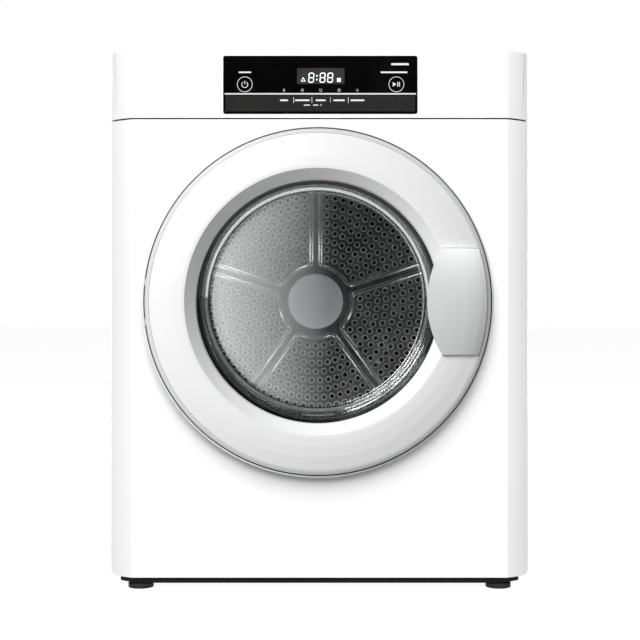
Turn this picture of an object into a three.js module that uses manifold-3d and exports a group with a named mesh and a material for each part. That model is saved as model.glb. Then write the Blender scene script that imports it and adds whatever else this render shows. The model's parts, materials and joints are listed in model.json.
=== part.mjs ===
// Compact vented clothes dryer: cabinet, glazed porthole door, belt-driven drum, fan, heater and air path.
// Millimetres. In the working frame x is to the user's right, y is up and z is towards the user.
// The last lines turn the whole assembly so that +Z is up and the front faces -Y.

import {
  BoxGeometry, BufferAttribute, BufferGeometry, CylinderGeometry, ExtrudeGeometry, Group,
  LatheGeometry, MathUtils, Mesh, MeshStandardMaterial, Shape, ShapeUtils, TorusGeometry, Vector2,
} from 'three';
import { mergeVertices } from 'three/addons/utils/BufferGeometryUtils.js';
import Module from 'manifold-3d';

const wasm = await Module();
wasm.setup();

// ---------------------------------------------------------------- driving dimensions

const GAP = 0.4; // air between pieces that are fitted to each other
const ROUND = 32; // sides of a large round piece
const MEDIUM = 20; // sides of a wheel, collar or boss
const SMALL = 16; // sides of a small round piece

const body = { half: 247.5, top: 633, front: 182, back: -190, sheet: 1, wall: 2.5, corner: 27, lidCorner: 12 };
const seams = {
  panelBottom: 13.7, panelTop: 551.1, fasciaBottom: 552.9, fasciaRear: 122, cornerRear: 147, sideTop: 617.7,
};
const pan = { half: 236.5, front: 178, rear: -186, bottom: 6.5, floor: 8, wall: 1.5, rim: 22, chamfer: 8 };
const foot = { x: 211.5, front: 165, rear: -165, radius: 15, height: 6.1, stud: 4, top: 22 };

const door = { x: -2, y: 337, rim: 204.4 };
const hinge = { x: -198.5, z: 193, pin: 2.2, knuckle: 4.2, earSpan: 26, earWidth: 5, armSpan: 19 };
const latch = { x: 174, width: 16, height: 26, wall: 4, front: 180.5, rear: 152 };
const mouth = { radius: 148, wall: 2, plateFront: 133, plateRear: 131, tubeFront: 179.5, sheetHole: 152.8 };
const bulkhead = { half: 230, bottom: 100, top: 546, corner: 20 };

const drum = { x: -5.5, y: 342, radius: 222, sheet: 1, front: 130, rear: -143, face: -140 };
const shaft = { radius: 9, end: -187, bearing: 16, flange: 60 };
const roller = { radius: 18, bore: 4.3, pin: 4, spread: 28, front: 118, rear: 100 };
const filter = { half: 85, bottom: 104, front: 143.5, rear: 136.5, topRadius: 144 };

const motor = { x: 150, y: 80, radius: 42, front: 105, rear: -5 };
const fan = { radius: 52, casing: 60, front: 159.6, rear: 134, sheet: 2 };
const pulley = { radius: 7, z: -40, width: 8 };
const belt = { width: 7, thickness: 1.6, drumRadius: 223.6, pulleyRadius: 7.8 };
const idler = { radius: 14, bore: 3.8, along: 105, pivotX: 210, pivotY: 50 };

const exhaust = { x: 60, y: 74, inner: 46, outer: 48, flange: 60, opening: 54, end: -215 };
const duct = { x0: 28, x1: 92, y0: 18, y1: 72, wall: 2 };
const heatCover = { radius: 200, back: -220, opening: 185, sheet: 1.4, slots: 12 };
const coil = { inner: 108, outer: 152, wire: 5, sheet: 2, rear: -212, front: -196, plates: 6 };
const stat = { x: 84, y: -145.5, radius: 9, rear: -216.6, front: -208 };
const bracket = { half: 194, halfHeight: 34, thickness: 3, boss: 21, bossFront: -168 };
const gland = { x: -180, y: 60, neck: 5.6, flange: 10, bore: 4 };

const display = { x: 0.9, halfWidth: 113.6, y0: 557.8, y1: 625.3, corner: 2.3, back: 179.9, front: 182.9 };
const roundKeys = { power: -87.6, start: 90, y: 591.9, radius: 9.5 };
const touchKeys = { first: -41.65, pitch: 21.5, y: 572.6, halfWidth: 9.9, halfHeight: 6 };
const trim = { y0: 579.95, y1: 581.65, front: 183.2 };
const keys = { roundFront: 183.4, flatFront: 183.1, flangeFront: 179.4, flangeRear: 177.8, stemRear: 173.8 };
const board = { x0: -110, x1: 112, y0: 560, y1: 624, back: 166, face: 167.6, switchFront: 172.5, switchHalf: 3 };

const PROGRAMME_KEYS = 5;
const LIFTERS = 3;
const SPOKES = 5;
const HOLE_ROWS = 3;
const FAN_BLADES = 9;

// ---------------------------------------------------------------- shape helpers

// A body of revolution about the z axis, from the closed outline of its half section, [radius, z].
function turned(profile, segments = ROUND) {
  const points = profile.map(([r, z]) => new Vector2(r, z));
  if (ShapeUtils.isClockWise(points)) points.reverse();
  const onAxis = points.filter((point) => point.x === 0).length > 1;
  if (onAxis) {
    while (points[0].x !== 0 || points[points.length - 1].x !== 0) points.push(points.shift());
  } else {
    points.push(points[0].clone());
  }
  return new LatheGeometry(points, segments).rotateX(Math.PI / 2);
}

function ring(inner, outer, z0, z1, segments = ROUND) {
  return turned([[inner, z0], [outer, z0], [outer, z1], [inner, z1]], segments);
}

function rod(x, y, radius, z0, z1, segments = SMALL) {
  const cylinder = new CylinderGeometry(radius, radius, z1 - z0, segments).rotateX(Math.PI / 2);
  return cylinder.translate(x, y, (z0 + z1) / 2);
}

function box([x0, x1], [y0, y1], [z0, z1]) {
  const block = new BoxGeometry(Math.abs(x1 - x0), y1 - y0, z1 - z0);
  return block.translate((x0 + x1) / 2, (y0 + y1) / 2, (z0 + z1) / 2);
}

// An outline in x and y, thick in z.
function slab(shape, z0, z1, curveSegments = 8) {
  const options = { depth: z1 - z0, bevelEnabled: false, curveSegments };
  return new ExtrudeGeometry(shape, options).translate(0, 0, z0);
}

// A plan outline, drawn in x and -z, rising from y0 to y1.
function raised(shape, y0, y1, curveSegments = 4) {
  const options = { depth: y1 - y0, bevelEnabled: false, curveSegments };
  return new ExtrudeGeometry(shape, options).rotateX(-Math.PI / 2).translate(0, y0, 0);
}

function polygon(points) {
  return new Shape(points.map(([x, y]) => new Vector2(x, y)));
}

function roundedRectangle(x0, x1, y0, y1, radius) {
  const shape = new Shape();
  shape.absarc(x1 - radius, y0 + radius, radius, -Math.PI / 2, 0);
  shape.absarc(x1 - radius, y1 - radius, radius, 0, Math.PI / 2);
  shape.absarc(x0 + radius, y1 - radius, radius, Math.PI / 2, Math.PI);
  shape.absarc(x0 + radius, y0 + radius, radius, Math.PI, Math.PI * 1.5);
  return shape;
}

function manifoldOf(geometry) {
  const bare = geometry.clone();
  bare.deleteAttribute('normal');
  bare.deleteAttribute('uv');
  const merged = mergeVertices(bare, 1e-3);
  const vertProperties = new Float32Array(merged.attributes.position.array);
  const triVerts = new Uint32Array(merged.index.array);
  return new wasm.Manifold(new wasm.Mesh({ numProp: 3, vertProperties, triVerts }));
}

function geometryOf(manifold) {
  const mesh = manifold.getMesh();
  const geometry = new BufferGeometry();
  geometry.setAttribute('position', new BufferAttribute(mesh.vertProperties, 3));
  geometry.setIndex(new BufferAttribute(mesh.triVerts, 1));
  return geometry;
}

function join(first, ...others) {
  return geometryOf(others.reduce((sum, other) => sum.add(manifoldOf(other)), manifoldOf(first)));
}

function cut(first, ...tools) {
  return geometryOf(tools.reduce((rest, tool) => rest.subtract(manifoldOf(tool)), manifoldOf(first)));
}

function common(first, second) {
  return geometryOf(manifoldOf(first).intersect(manifoldOf(second)));
}

// ---------------------------------------------------------------- cabinet

function basePan() {
  const outline = (inset) => {
    const half = pan.half - inset;
    const front = pan.front - inset;
    const rear = pan.rear + inset;
    return polygon([
      [-half, -rear], [-half, pan.chamfer - front], [pan.chamfer - half, -front],
      [half - pan.chamfer, -front], [half, pan.chamfer - front], [half, -rear],
    ]);
  };
  const studHoles = [-1, 1].flatMap((side) => [foot.front, foot.rear].map((z) => (
    rod(side * foot.x, -z, foot.stud + GAP, 0, pan.rim).rotateX(-Math.PI / 2)
  )));
  const tray = cut(raised(outline(0), pan.bottom, pan.rim), raised(outline(pan.wall), pan.floor, pan.rim + 1));
  return cut(tray, ...studHoles);
}

// One side sheet with its four turned-in edges. side is -1 for the left and 1 for the right.
function sidePanel(side) {
  const outer = side * body.half;
  const inner = side * (body.half - body.sheet);
  const edge = side * (pan.half + GAP);
  const rear = body.back + body.sheet + GAP;
  const front = seams.cornerRear - 0.3;
  const shoulder = seams.fasciaRear - GAP;
  const tall = [seams.panelBottom, seams.sideTop];
  const low = [seams.panelBottom, seams.panelTop];
  return join(
    box([inner, outer], tall, [rear, shoulder]),
    box([inner, outer], low, [shoulder - 1, front]),
    box([edge, outer], [seams.panelBottom, seams.panelBottom + body.sheet], [rear, front]),
    box([edge, outer], low, [front - body.sheet, front]),
    box([edge, outer], tall, [rear, rear + body.sheet]),
    box([edge, outer], [seams.sideTop - body.sheet, seams.sideTop], [rear, shoulder]),
  );
}

function rearPanel() {
  const half = body.half - 0.5;
  const sheet = box([-half, half], [seams.panelBottom, seams.sideTop], [body.back, body.back + body.sheet]);
  const z0 = body.back - 1;
  const z1 = body.back + 2;
  return cut(
    sheet,
    rod(drum.x, drum.y, heatCover.opening, z0, z1, ROUND),
    rod(exhaust.x, exhaust.y, exhaust.opening, z0, z1, MEDIUM),
    rod(gland.x, gland.y, gland.neck + 0.6, z0, z1),
  );
}

function topCover() {
  const wall = body.wall;
  const outline = (inset) => {
    const half = body.half - inset;
    const rear = -body.back - inset;
    const front = inset + GAP - seams.fasciaRear;
    const radius = body.lidCorner - inset;
    const shape = new Shape();
    shape.moveTo(-half, front);
    shape.lineTo(half, front);
    shape.absarc(half - radius, rear - radius, radius, 0, Math.PI / 2);
    shape.absarc(radius - half, rear - radius, radius, Math.PI / 2, Math.PI);
    return shape;
  };
  const bottom = seams.sideTop + GAP;
  return cut(raised(outline(0), bottom, body.top), raised(outline(wall), bottom - 1, body.top - wall));
}

// Plan outline of the cabinet's front: straight sides from rear, two round corners and a flat face.
function frontOutline(inset, rear) {
  const half = body.half - inset;
  const front = body.front - inset;
  const radius = body.corner - inset;
  const shape = new Shape();
  shape.moveTo(-half, -rear);
  shape.lineTo(-half, radius - front);
  shape.absarc(radius - half, radius - front, radius, Math.PI, Math.PI * 1.5);
  shape.absarc(half - radius, radius - front, radius, Math.PI * 1.5, Math.PI * 2);
  shape.lineTo(half, -rear);
  return shape;
}

function frontPanel() {
  const { panelBottom, panelTop, cornerRear: rear } = seams;
  const sheet = cut(
    raised(frontOutline(0, rear), panelBottom, panelTop),
    raised(frontOutline(body.sheet, rear - 5), panelBottom - 1, panelTop + 1),
  );
  const topFlange = box([-220, 220], [panelTop - 1.5, panelTop - 0.5], [170, body.front - 0.5]);
  const through = [170, 190];
  const earSlots = [-1, 1].map((side) => {
    const middle = door.y + side * (hinge.earSpan - hinge.earWidth / 2);
    return box([-198, -178], [middle - 3.5, middle + 3.5], through);
  });
  const wide = latch.width / 2 + 1;
  const high = latch.height / 2 - 2;
  const latchSlot = box([latch.x - wide, latch.x + wide], [door.y - high, door.y + high], through);
  const doorHole = rod(door.x, door.y, mouth.sheetHole, ...through, 40);
  return cut(join(sheet, topFlange), doorHole, latchSlot, ...earSlots);
}

function controlFascia() {
  const { wall } = body;
  const { fasciaBottom, fasciaRear } = seams;
  const shell = cut(
    raised(frontOutline(0, fasciaRear), fasciaBottom, body.top),
    raised(frontOutline(wall, fasciaRear - 5), fasciaBottom - 1, body.top - wall),
  );
  const x0 = display.x - display.halfWidth - GAP;
  const x1 = display.x + display.halfWidth + GAP;
  const opening = roundedRectangle(x0, x1, display.y0 - GAP, display.y1 + GAP, display.corner + GAP);
  return cut(shell, slab(opening, body.front - 5, body.front + 2, 3));
}

function touchKeyX(index) {
  return touchKeys.first + index * touchKeys.pitch;
}

function displayWindow() {
  const { x, halfWidth, y0, y1, corner, back, front } = display;
  const panel = slab(roundedRectangle(x - halfWidth, x + halfWidth, y0, y1, corner), back, front, 3);
  const through = [back - 1, front + 1];
  const roundHoles = [roundKeys.power, roundKeys.start].map((keyX) => (
    rod(keyX, roundKeys.y, roundKeys.radius + GAP, ...through, MEDIUM)
  ));
  const halfWide = touchKeys.halfWidth + 0.3;
  const halfHigh = touchKeys.halfHeight + 0.3;
  const slots = Array.from({ length: PROGRAMME_KEYS }, (_, index) => {
    const keyX = touchKeyX(index);
    return box([keyX - halfWide, keyX + halfWide], [touchKeys.y - halfHigh, touchKeys.y + halfHigh], through);
  });
  const grooveY = [trim.y0 - GAP, trim.y1 + GAP];
  const groove = box([x - halfWidth + 1, x + halfWidth - 1], grooveY, [front - 1.2, front + 1]);
  return cut(panel, ...roundHoles, ...slots, groove);
}

function trimStrip() {
  const reach = display.halfWidth - 1 - GAP;
  return box([display.x - reach, display.x + reach], [trim.y0, trim.y1], [display.front - 0.8, trim.front]);
}

function controlBoard() {
  const { face, switchHalf, switchFront } = board;
  const places = [[roundKeys.power, roundKeys.y], [roundKeys.start, roundKeys.y]];
  for (let index = 0; index < PROGRAMME_KEYS; index += 1) {
    places.push([touchKeyX(index), touchKeys.y]);
  }
  const switches = places.map(([x, y]) => (
    box([x - switchHalf, x + switchHalf], [y - switchHalf, y + switchHalf], [face - 1, switchFront])
  ));
  const card = box([board.x0, board.x1], [board.y0, board.y1], [board.back, face]);
  const displayModule = box([-30, 33], [588, 615], [face - 1, 177]);
  return join(card, displayModule, ...switches);
}

function roundKey() {
  const { radius } = roundKeys;
  const { roundFront, flangeFront, flangeRear, stemRear } = keys;
  return turned([
    [0, roundFront], [radius - 0.4, roundFront], [radius, roundFront - 0.4], [radius, flangeFront],
    [radius + 1.8, flangeFront], [radius + 1.8, flangeRear], [3, flangeRear], [3, stemRear], [0, stemRear],
  ], MEDIUM);
}

function programmeKey() {
  const { halfWidth, halfHeight } = touchKeys;
  const { flatFront, flangeFront, flangeRear, stemRear } = keys;
  const cap = box([-halfWidth, halfWidth], [-halfHeight, halfHeight], [flangeRear + 0.2, flatFront]);
  const flange = box([-halfWidth, halfWidth], [-halfHeight - 2.5, halfHeight + 2.5], [flangeRear, flangeFront]);
  return join(cap, flange, rod(0, 0, 2.5, stemRear, flangeRear + 0.7));
}

// Position of a support roller's axle. side is -1 for the left and 1 for the right.
function rollerCentre(side) {
  const reach = drum.radius + roller.radius + 0.9;
  const angle = MathUtils.degToRad(roller.spread);
  return [drum.x + side * reach * Math.sin(angle), drum.y - reach * Math.cos(angle)];
}

function frontBulkhead() {
  const { radius, wall, plateFront, plateRear, tubeFront } = mouth;
  const { half, bottom, top, corner } = bulkhead;
  const plate = slab(roundedRectangle(-half, half, bottom, top, corner), plateRear, plateFront, 3);
  const tube = ring(radius, radius + wall, plateRear + 0.5, tubeFront).translate(door.x, door.y, 0);
  const pins = [-1, 1].map((side) => rod(...rollerCentre(side), roller.pin, roller.rear - 2, plateFront - 1));
  const hole = rod(door.x, door.y, radius, plateRear - 1, plateFront + 1, ROUND);
  const slotX = [door.x - filter.half - 2, door.x + filter.half + 2];
  const slot = box(slotX, [170, 225], [filter.rear - 1.5, filter.front + 1]);
  return cut(join(cut(plate, hole), tube, ...pins), slot);
}

function doorGasket() {
  return turned([[150.4, 178.6], [151.6, 178.6], [151.6, 182.4], [158, 182.4], [158, 183.6], [150.4, 183.6]]);
}

// Felt ring that the drum's front edge runs over.
function drumFrontSeal() {
  return ring(212, 219.4, 122, mouth.plateRear - GAP);
}

function drumRearSeal() {
  return ring(203, 216, body.back + body.sheet + GAP, drum.rear - 1);
}

function rearDuctCover() {
  const { radius, back, sheet } = heatCover;
  const seat = body.back - GAP;
  const dish = turned([
    [0, back], [radius - 24, back], [radius - 16, back + 4], [radius - 10, seat - 3.6],
    [radius, seat - sheet], [radius, seat], [radius - 11.6, seat], [radius - 17.2, back + 4.8],
    [radius - 24.5, back + sheet], [0, back + sheet],
  ]);
  const slots = Array.from({ length: heatCover.slots }, (_, index) => (
    box([110, 158], [-3, 3], [back - 1, back + 3]).rotateZ((index + 0.5) * Math.PI * 2 / heatCover.slots)
  ));
  return cut(dish, ...slots);
}

function heater() {
  const { inner, outer, wire, sheet } = coil;
  const depth = [coil.rear, coil.front];
  const plates = Array.from({ length: coil.plates }, (_, index) => (
    box([inner + 1, outer - 1], [-1, 1], depth).rotateZ(index * Math.PI * 2 / coil.plates)
  ));
  const winding = new TorusGeometry((inner + outer) / 2, wire, 6, 24).translate(0, 0, (coil.rear + coil.front) / 2);
  return join(ring(inner, inner + sheet, ...depth, 24), ring(outer - sheet, outer, ...depth, 24), winding, ...plates);
}

function thermostat() {
  const { radius, rear, front } = stat;
  const terminals = [-4, 4].map((x) => box([x - 0.8, x + 0.8], [-1.6, 1.6], [front - 1, front + 7]));
  return join(rod(0, 0, radius, rear, front), ...terminals);
}

function bearingBracket() {
  const plateBack = body.back + body.sheet + GAP;
  const { half, halfHeight, thickness, bossFront } = bracket;
  const strap = box([-half, half], [-halfHeight, halfHeight], [plateBack, plateBack + thickness]);
  const boss = rod(0, 0, bracket.boss, plateBack + 1, bossFront, MEDIUM);
  return cut(join(strap, boss), rod(0, 0, shaft.bearing + GAP, plateBack - 5, bossFront + 5, MEDIUM));
}

function drumBearing() {
  return ring(shaft.radius + GAP, shaft.bearing, -186, -170, MEDIUM);
}

function motorUnit() {
  const { x, y, radius, front, rear } = motor;
  const can = turned([
    [6.6, rear], [20, rear], [24, rear + 5], [radius - 2, rear + 7], [radius, rear + 13],
    [radius, front - 13], [radius - 2, front - 7], [24, front - 5], [20, front], [6.6, front],
  ], MEDIUM).translate(x, y, 0);
  const floorTop = pan.floor + 0.5;
  const cradles = [15, 75].map((z) => box([x - 38, x + 38], [floorTop, y - 40], [z, z + 10]));
  const baseplate = box([x - 42, 222], [floorTop, floorTop + 3], [-52, 95]);
  const ear = box([202, 220], [floorTop + 1, 60], [-28, -25]);
  const stud = rod(idler.pivotX, idler.pivotY, 4, -36, -26);
  return join(can, baseplate, ear, stud, ...cradles);
}

function fanHousing() {
  const { x, y } = motor;
  const { casing, front, rear, sheet } = fan;
  const outlet = (inset) => [[30 + inset, x], [20 + inset, 70 - inset], [rear + inset, front - inset]];
  const outer = join(rod(x, y, casing, rear, front, ROUND), box(...outlet(0)));
  const inner = join(rod(x, y, casing - sheet, rear + sheet, front - sheet, ROUND), box(...outlet(sheet)));
  const inlet = rod(x, y, 29, front - 3, front + 1, MEDIUM);
  const shaftHole = rod(x, y, 9, rear - 1, rear + 3);
  const port = box([34, 86], [24, 66], [rear - 1, rear + 3]);
  return cut(outer, inner, inlet, shaftHole, port);
}

// Air duct from the lint filter at the door mouth down to the fan inlet.
function lintDuct() {
  const wall = 2;
  const pocketX = [door.x - filter.half - 5, door.x + filter.half + 5];
  const pocketY = [96, 222];
  const pocketZ = [133.7, 178];
  const crossX = [pocketX[1] - 4, 212];
  const crossY = [24, 140];
  const crossZ = [160, 178];
  const shrink = ([low, high]) => [low + wall, high - wall];
  const mouthTube = rod(door.x, door.y, mouth.radius + mouth.wall + 1, 120, 190, ROUND);
  const pocketHollow = box(shrink(pocketX), [pocketY[0] + wall, 240], shrink(pocketZ));
  const crossHollow = box([pocketX[0] + 20, crossX[1] - wall], [pocketY[0] + wall, crossY[1] - wall], shrink(crossZ));
  const lowHollow = box(shrink(crossX), shrink(crossY), shrink(crossZ));
  const inlet = rod(motor.x, motor.y, 30, 159, 163, MEDIUM);
  const outer = join(cut(box(pocketX, pocketY, pocketZ), mouthTube), box(crossX, crossY, crossZ));
  return cut(outer, pocketHollow, crossHollow, lowHollow, inlet);
}

function exhaustDuct() {
  const { x0, x1, y0, y1, wall } = duct;
  const { x, y, inner } = exhaust;
  const run = box([x0, x1], [y0, y1], [-150, 133.6]);
  const runHollow = box([x0 + wall, x1 - wall], [y0 + wall, y1 - wall], [-155, 135]);
  const end = box([x - 50, x + 50], [y - 50, y + 50], [-162, -144]);
  const endHollow = box([x - 48, x + 48], [y - 48, y + 48], [-160, -146]);
  return cut(join(run, end), runHollow, endHollow, rod(x, y, inner, -163, -159, ROUND));
}

function exhaustCollar() {
  const { inner, outer, flange, end } = exhaust;
  const seat = body.back - GAP;
  return turned([
    [inner, end], [outer, end], [outer, seat - 2], [flange, seat - 2], [flange, seat],
    [outer, seat], [outer, -162.4], [inner, -162.4],
  ], 24);
}

// Direction and contact angles of the open belt between the drum and the motor pulley.
function beltPath() {
  const dx = motor.x - drum.x;
  const dy = motor.y - drum.y;
  const spread = Math.acos((belt.drumRadius - belt.pulleyRadius) / Math.hypot(dx, dy));
  const heading = Math.atan2(dy, dx);
  return { upper: heading + spread, lower: heading - spread };
}

function driveBelt() {
  const { upper, lower } = beltPath();
  const loop = (offset) => {
    const shape = new Shape();
    shape.absarc(drum.x, drum.y, belt.drumRadius + offset, upper, lower + Math.PI * 2);
    shape.absarc(motor.x, motor.y, belt.pulleyRadius + offset, lower, upper);
    return shape;
  };
  const z0 = pulley.z - belt.width / 2;
  const z1 = pulley.z + belt.width / 2;
  return cut(slab(loop(belt.thickness), z0, z1, 14), slab(loop(0), z0 - 1, z1 + 1, 14));
}

function idlerCentre() {
  const { upper } = beltPath();
  const out = belt.pulleyRadius + belt.thickness + idler.radius + GAP;
  return [
    motor.x + out * Math.cos(upper) - idler.along * Math.sin(upper),
    motor.y + out * Math.sin(upper) + idler.along * Math.cos(upper),
  ];
}

function idlerArm() {
  const [wheelX, wheelY] = idlerCentre();
  const rise = Math.hypot(wheelX - idler.pivotX, wheelY - idler.pivotY);
  const plate = new Shape();
  plate.absarc(0, 0, 8, Math.PI, Math.PI * 2);
  plate.absarc(0, rise, 8, 0, Math.PI);
  const lean = Math.atan2(idler.pivotX - wheelX, wheelY - idler.pivotY);
  const arm = slab(plate, -34, -31, 6).rotateZ(lean).translate(idler.pivotX, idler.pivotY, 0);
  const hole = rod(idler.pivotX, idler.pivotY, 4 + GAP, -40, -28);
  return join(cut(arm, hole), rod(wheelX, wheelY, idler.bore - 0.3, -46, -33));
}

function latchCatch() {
  const { x, width, height, wall, front, rear } = latch;
  const block = (margin, z0, z1) => {
    const half = width / 2 + margin;
    const halfHeight = height / 2 + margin;
    return box([x - half, x + half], [door.y - halfHeight, door.y + halfHeight], [z0, z1]);
  };
  return cut(block(wall, rear, front), block(0, rear + 6, front + 1.5));
}

// Backing plate behind the front sheet, two ears through it and the hinge pin between them.
function hingeBracket() {
  const { x, z, pin, knuckle, earSpan, earWidth } = hinge;
  const plateZ = [178.4, 180.6];
  const plate = box([-212, -178], [door.y - earSpan - 8, door.y + earSpan + 8], plateZ);
  const profile = polygon([
    [-196, 1 - body.front], [-196, -178.6], [-181, -178.6], [-181, -182.4],
    [x + 2.1, 2.1 - z - 4.2], [x - 2.1, 2.1 - z],
  ]);
  const ears = [door.y - earSpan, door.y + earSpan - earWidth].map((y0) => (
    join(raised(profile, y0, y0 + earWidth), rod(x, -z, knuckle - 0.6, y0, y0 + earWidth, 20).rotateX(-Math.PI / 2))
  ));
  const axle = rod(x, -z, pin, door.y - earSpan + 1, door.y + earSpan - 1, 20).rotateX(-Math.PI / 2);
  return join(plate, axle, ...ears);
}

function mainsGland() {
  const wall = body.back;
  const { bore, neck, flange } = gland;
  return turned([
    [bore, wall + 6], [flange - 1, wall + 6], [flange - 1, wall + 1.4], [neck, wall + 1.4], [neck, wall - GAP],
    [flange, wall - GAP], [flange, wall - 6], [flange - 3, wall - 13], [bore, wall - 13],
  ], 12);
}

// ---------------------------------------------------------------- door, about its own centre
// z is measured from the front panel's outer face.

function doorRing() {
  const shell = turned([
    [201, 7.4], [201, 17.5], [199.8, 19.6], [195.2, 23], [180, 28.2], [167, 31.5], [157, 33], [153.5, 33],
    [142, 19], [141, 14], [144, 14], [145.2, 18.4], [154.6, 29.8], [157, 30], [166.4, 28.5], [179, 25.1],
    [193.4, 20], [198, 16.2], [198, 7.4],
  ]);
  const hingeNotch = box([-206, -188], [-28, 28], [5, 15.8]);
  return cut(shell, hingeNotch);
}

function doorLiner() {
  const { rim } = door;
  const shell = turned([
    [149, 2], [200.5, 2], [rim, 5.5], [rim, 14.5], [202.6, 14.5], [202.6, 7],
    [199, 4.5], [151.5, 4.5], [151.5, 10], [149, 10],
  ]);
  const earSlots = [-1, 1].map((side) => {
    const middle = side * (hinge.earSpan - hinge.earWidth / 2);
    return box([-208, -176], [middle - 3.5, middle + 3.5], [0, 13.8]);
  });
  const strikeX = latch.x - door.x;
  return cut(shell, ...earSlots, box([strikeX - 3.3, strikeX + 3.3], [-8.5, 8.5], [0, 6]));
}

function doorGlass() {
  return turned([
    [0, -33], [60, -32.5], [124, -30], [131.5, -25], [134.8, -16], [137.5, 9], [139, 13.5], [146.5, 13.5],
    [146.5, 10.4], [141.6, 10.4], [141.4, 8], [138.6, -17], [135, -27.5], [125.5, -34], [60, -36.5], [0, -37],
  ]);
}

function glassClamp() {
  return ring(142.4, 148.6, 7, 10);
}

// Convex pull plate lying on the ring's right side and standing over the glass at its left edge.
function doorHandle() {
  const dome = turned([
    [118, 33.5], [157, 33.5], [167, 32], [180, 28.7], [196, 23.3], [196, 24.6], [188, 29.4],
    [176, 33.6], [160, 36.9], [146, 38], [132, 37.9], [118, 37],
  ], 96);
  const plateRadius = 195.5;
  const halfHeight = 61;
  const cornerX = 142.5;
  const edgeX = 125.4;
  const sagitta = cornerX - edgeX;
  const edgeRadius = (halfHeight ** 2 + sagitta ** 2) / (2 * sagitta);
  const rimAngle = Math.asin(halfHeight / plateRadius);
  const edgeAngle = Math.asin(halfHeight / edgeRadius);
  const outline = new Shape();
  outline.absarc(0, 0, plateRadius, -rimAngle, rimAngle);
  outline.absarc(edgeX + edgeRadius, 0, edgeRadius, Math.PI - edgeAngle, Math.PI + edgeAngle);
  return common(dome, slab(outline, 20, 40, 8));
}

function doorStrike() {
  const x = latch.x - door.x;
  const base = box([x - 9, x + 12], [-14, 14], [5, 7.5]);
  const tongue = box([x - 2.5, x + 2.5], [-7, 7], [-16, 6]);
  const hook = box([x - 2.5, x + 5], [-7, 7], [-16, -12]);
  return join(base, tongue, hook);
}

function hingeArm() {
  const x = hinge.x - door.x;
  const z = hinge.z - body.front;
  const span = hinge.armSpan;
  const across = (radius, reach) => rod(x, -z, radius, -reach, reach, 20).rotateX(-Math.PI / 2);
  const plate = box([x, x + 40], [-span, span], [5, 7.8]);
  return cut(join(plate, across(hinge.knuckle, span)), across(hinge.pin + 0.3, span + 1));
}

// ---------------------------------------------------------------- drum, about its own axis

function drumShell() {
  return ring(drum.radius - drum.sheet, drum.radius, drum.rear, drum.front);
}

function drumBack() {
  const { radius, sheet, face } = drum;
  const disc = rod(0, 0, radius - sheet - 0.6, face - 2, face, ROUND);
  const holes = [];
  const pitch = 42;
  for (let sector = 0; sector < SPOKES; sector += 1) {
    const middle = Math.PI / 2 + (sector + 0.5) * (2 * Math.PI / SPOKES);
    for (let row = 0; row < HOLE_ROWS; row += 1) {
      const reach = 90 + row * pitch;
      for (let index = 0; index <= row; index += 1) {
        const angle = middle + (index - row / 2) * (pitch / reach);
        holes.push(rod(reach * Math.cos(angle), reach * Math.sin(angle), 12, face - 4, face + 2, 6));
      }
    }
  }
  return cut(disc, ...holes);
}

function drumShaft() {
  const front = drum.face - 2 - GAP;
  const { radius, end, flange } = shaft;
  return turned([
    [0, front], [flange, front], [flange, front - 3], [14, front - 4],
    [radius, front - 10], [radius, end], [0, end],
  ], MEDIUM);
}

function lifter() {
  const base = drum.radius - 4.5;
  const outline = polygon([
    [-28, -base], [28, -base], [19, 12 - base], [9, 38 - base], [5, 43 - base],
    [-5, 43 - base], [-9, 38 - base], [-19, 12 - base],
  ]);
  return slab(outline, drum.face + 6, drum.front - 12);
}

function hubCap() {
  const seat = drum.face + GAP;
  return turned([
    [0, seat], [38.7, seat], [38.7, seat + 8], [36.5, seat + 12], [30, seat + 13],
    [12, seat + 9.5], [0, seat + 8.5],
  ]);
}

// ---------------------------------------------------------------- drive, rollers, filter and feet

// Motor shaft with the belt pulley turned on its rear end, about the motor's axis.
function rotorShaft() {
  const half = pulley.width / 2;
  return turned([
    [0, pulley.z - half - 8], [6, pulley.z - half - 8], [6, pulley.z - half - 2], [8.5, pulley.z - half - 1.5],
    [8.5, pulley.z - half - 0.5], [pulley.radius, pulley.z - half], [pulley.radius, pulley.z + half],
    [8.5, pulley.z + half + 0.5], [8.5, pulley.z + half + 1.5], [6, pulley.z + half + 2], [6, 157], [0, 157],
  ], SMALL);
}

function fanWheel() {
  const rear = fan.rear + 4.5;
  const front = fan.front - 4.1;
  const web = turned([
    [6.4, rear], [fan.radius, rear], [fan.radius, rear + 2], [14, rear + 2], [14, front], [6.4, front],
  ], MEDIUM);
  const blades = Array.from({ length: FAN_BLADES }, (_, index) => (
    box([12, fan.radius - 1], [-1, 1], [rear + 1, front]).rotateZ(index * Math.PI * 2 / FAN_BLADES)
  ));
  return join(web, ...blades);
}

function lintFilter() {
  const { half, bottom, front, rear, topRadius } = filter;
  const frame = cut(
    box([door.x - half, door.x + half], [bottom, 222], [rear, front]),
    rod(door.x, door.y, topRadius, rear - 1, front + 1, ROUND),
  );
  const tab = box([door.x - 20, door.x + 20], [188, 204], [rear, front]);
  const middle = (front + rear) / 2;
  const windows = [-1, 1].flatMap((side) => [[rear - 1, middle - 0.5], [middle + 0.5, front + 1]].map((z) => (
    box([door.x + side * 4, door.x + side * (half - 6)], [bottom + 6, 184], z)
  )));
  return cut(join(frame, tab), ...windows);
}

function levellingFoot() {
  const { radius, height, stud, top } = foot;
  return turned([
    [0, 0], [radius - 0.6, 0], [radius, 0.8], [radius, 5], [radius - 1.5, height],
    [stud, height], [stud, top], [0, top],
  ], SMALL);
}

// ---------------------------------------------------------------- finishes

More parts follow.
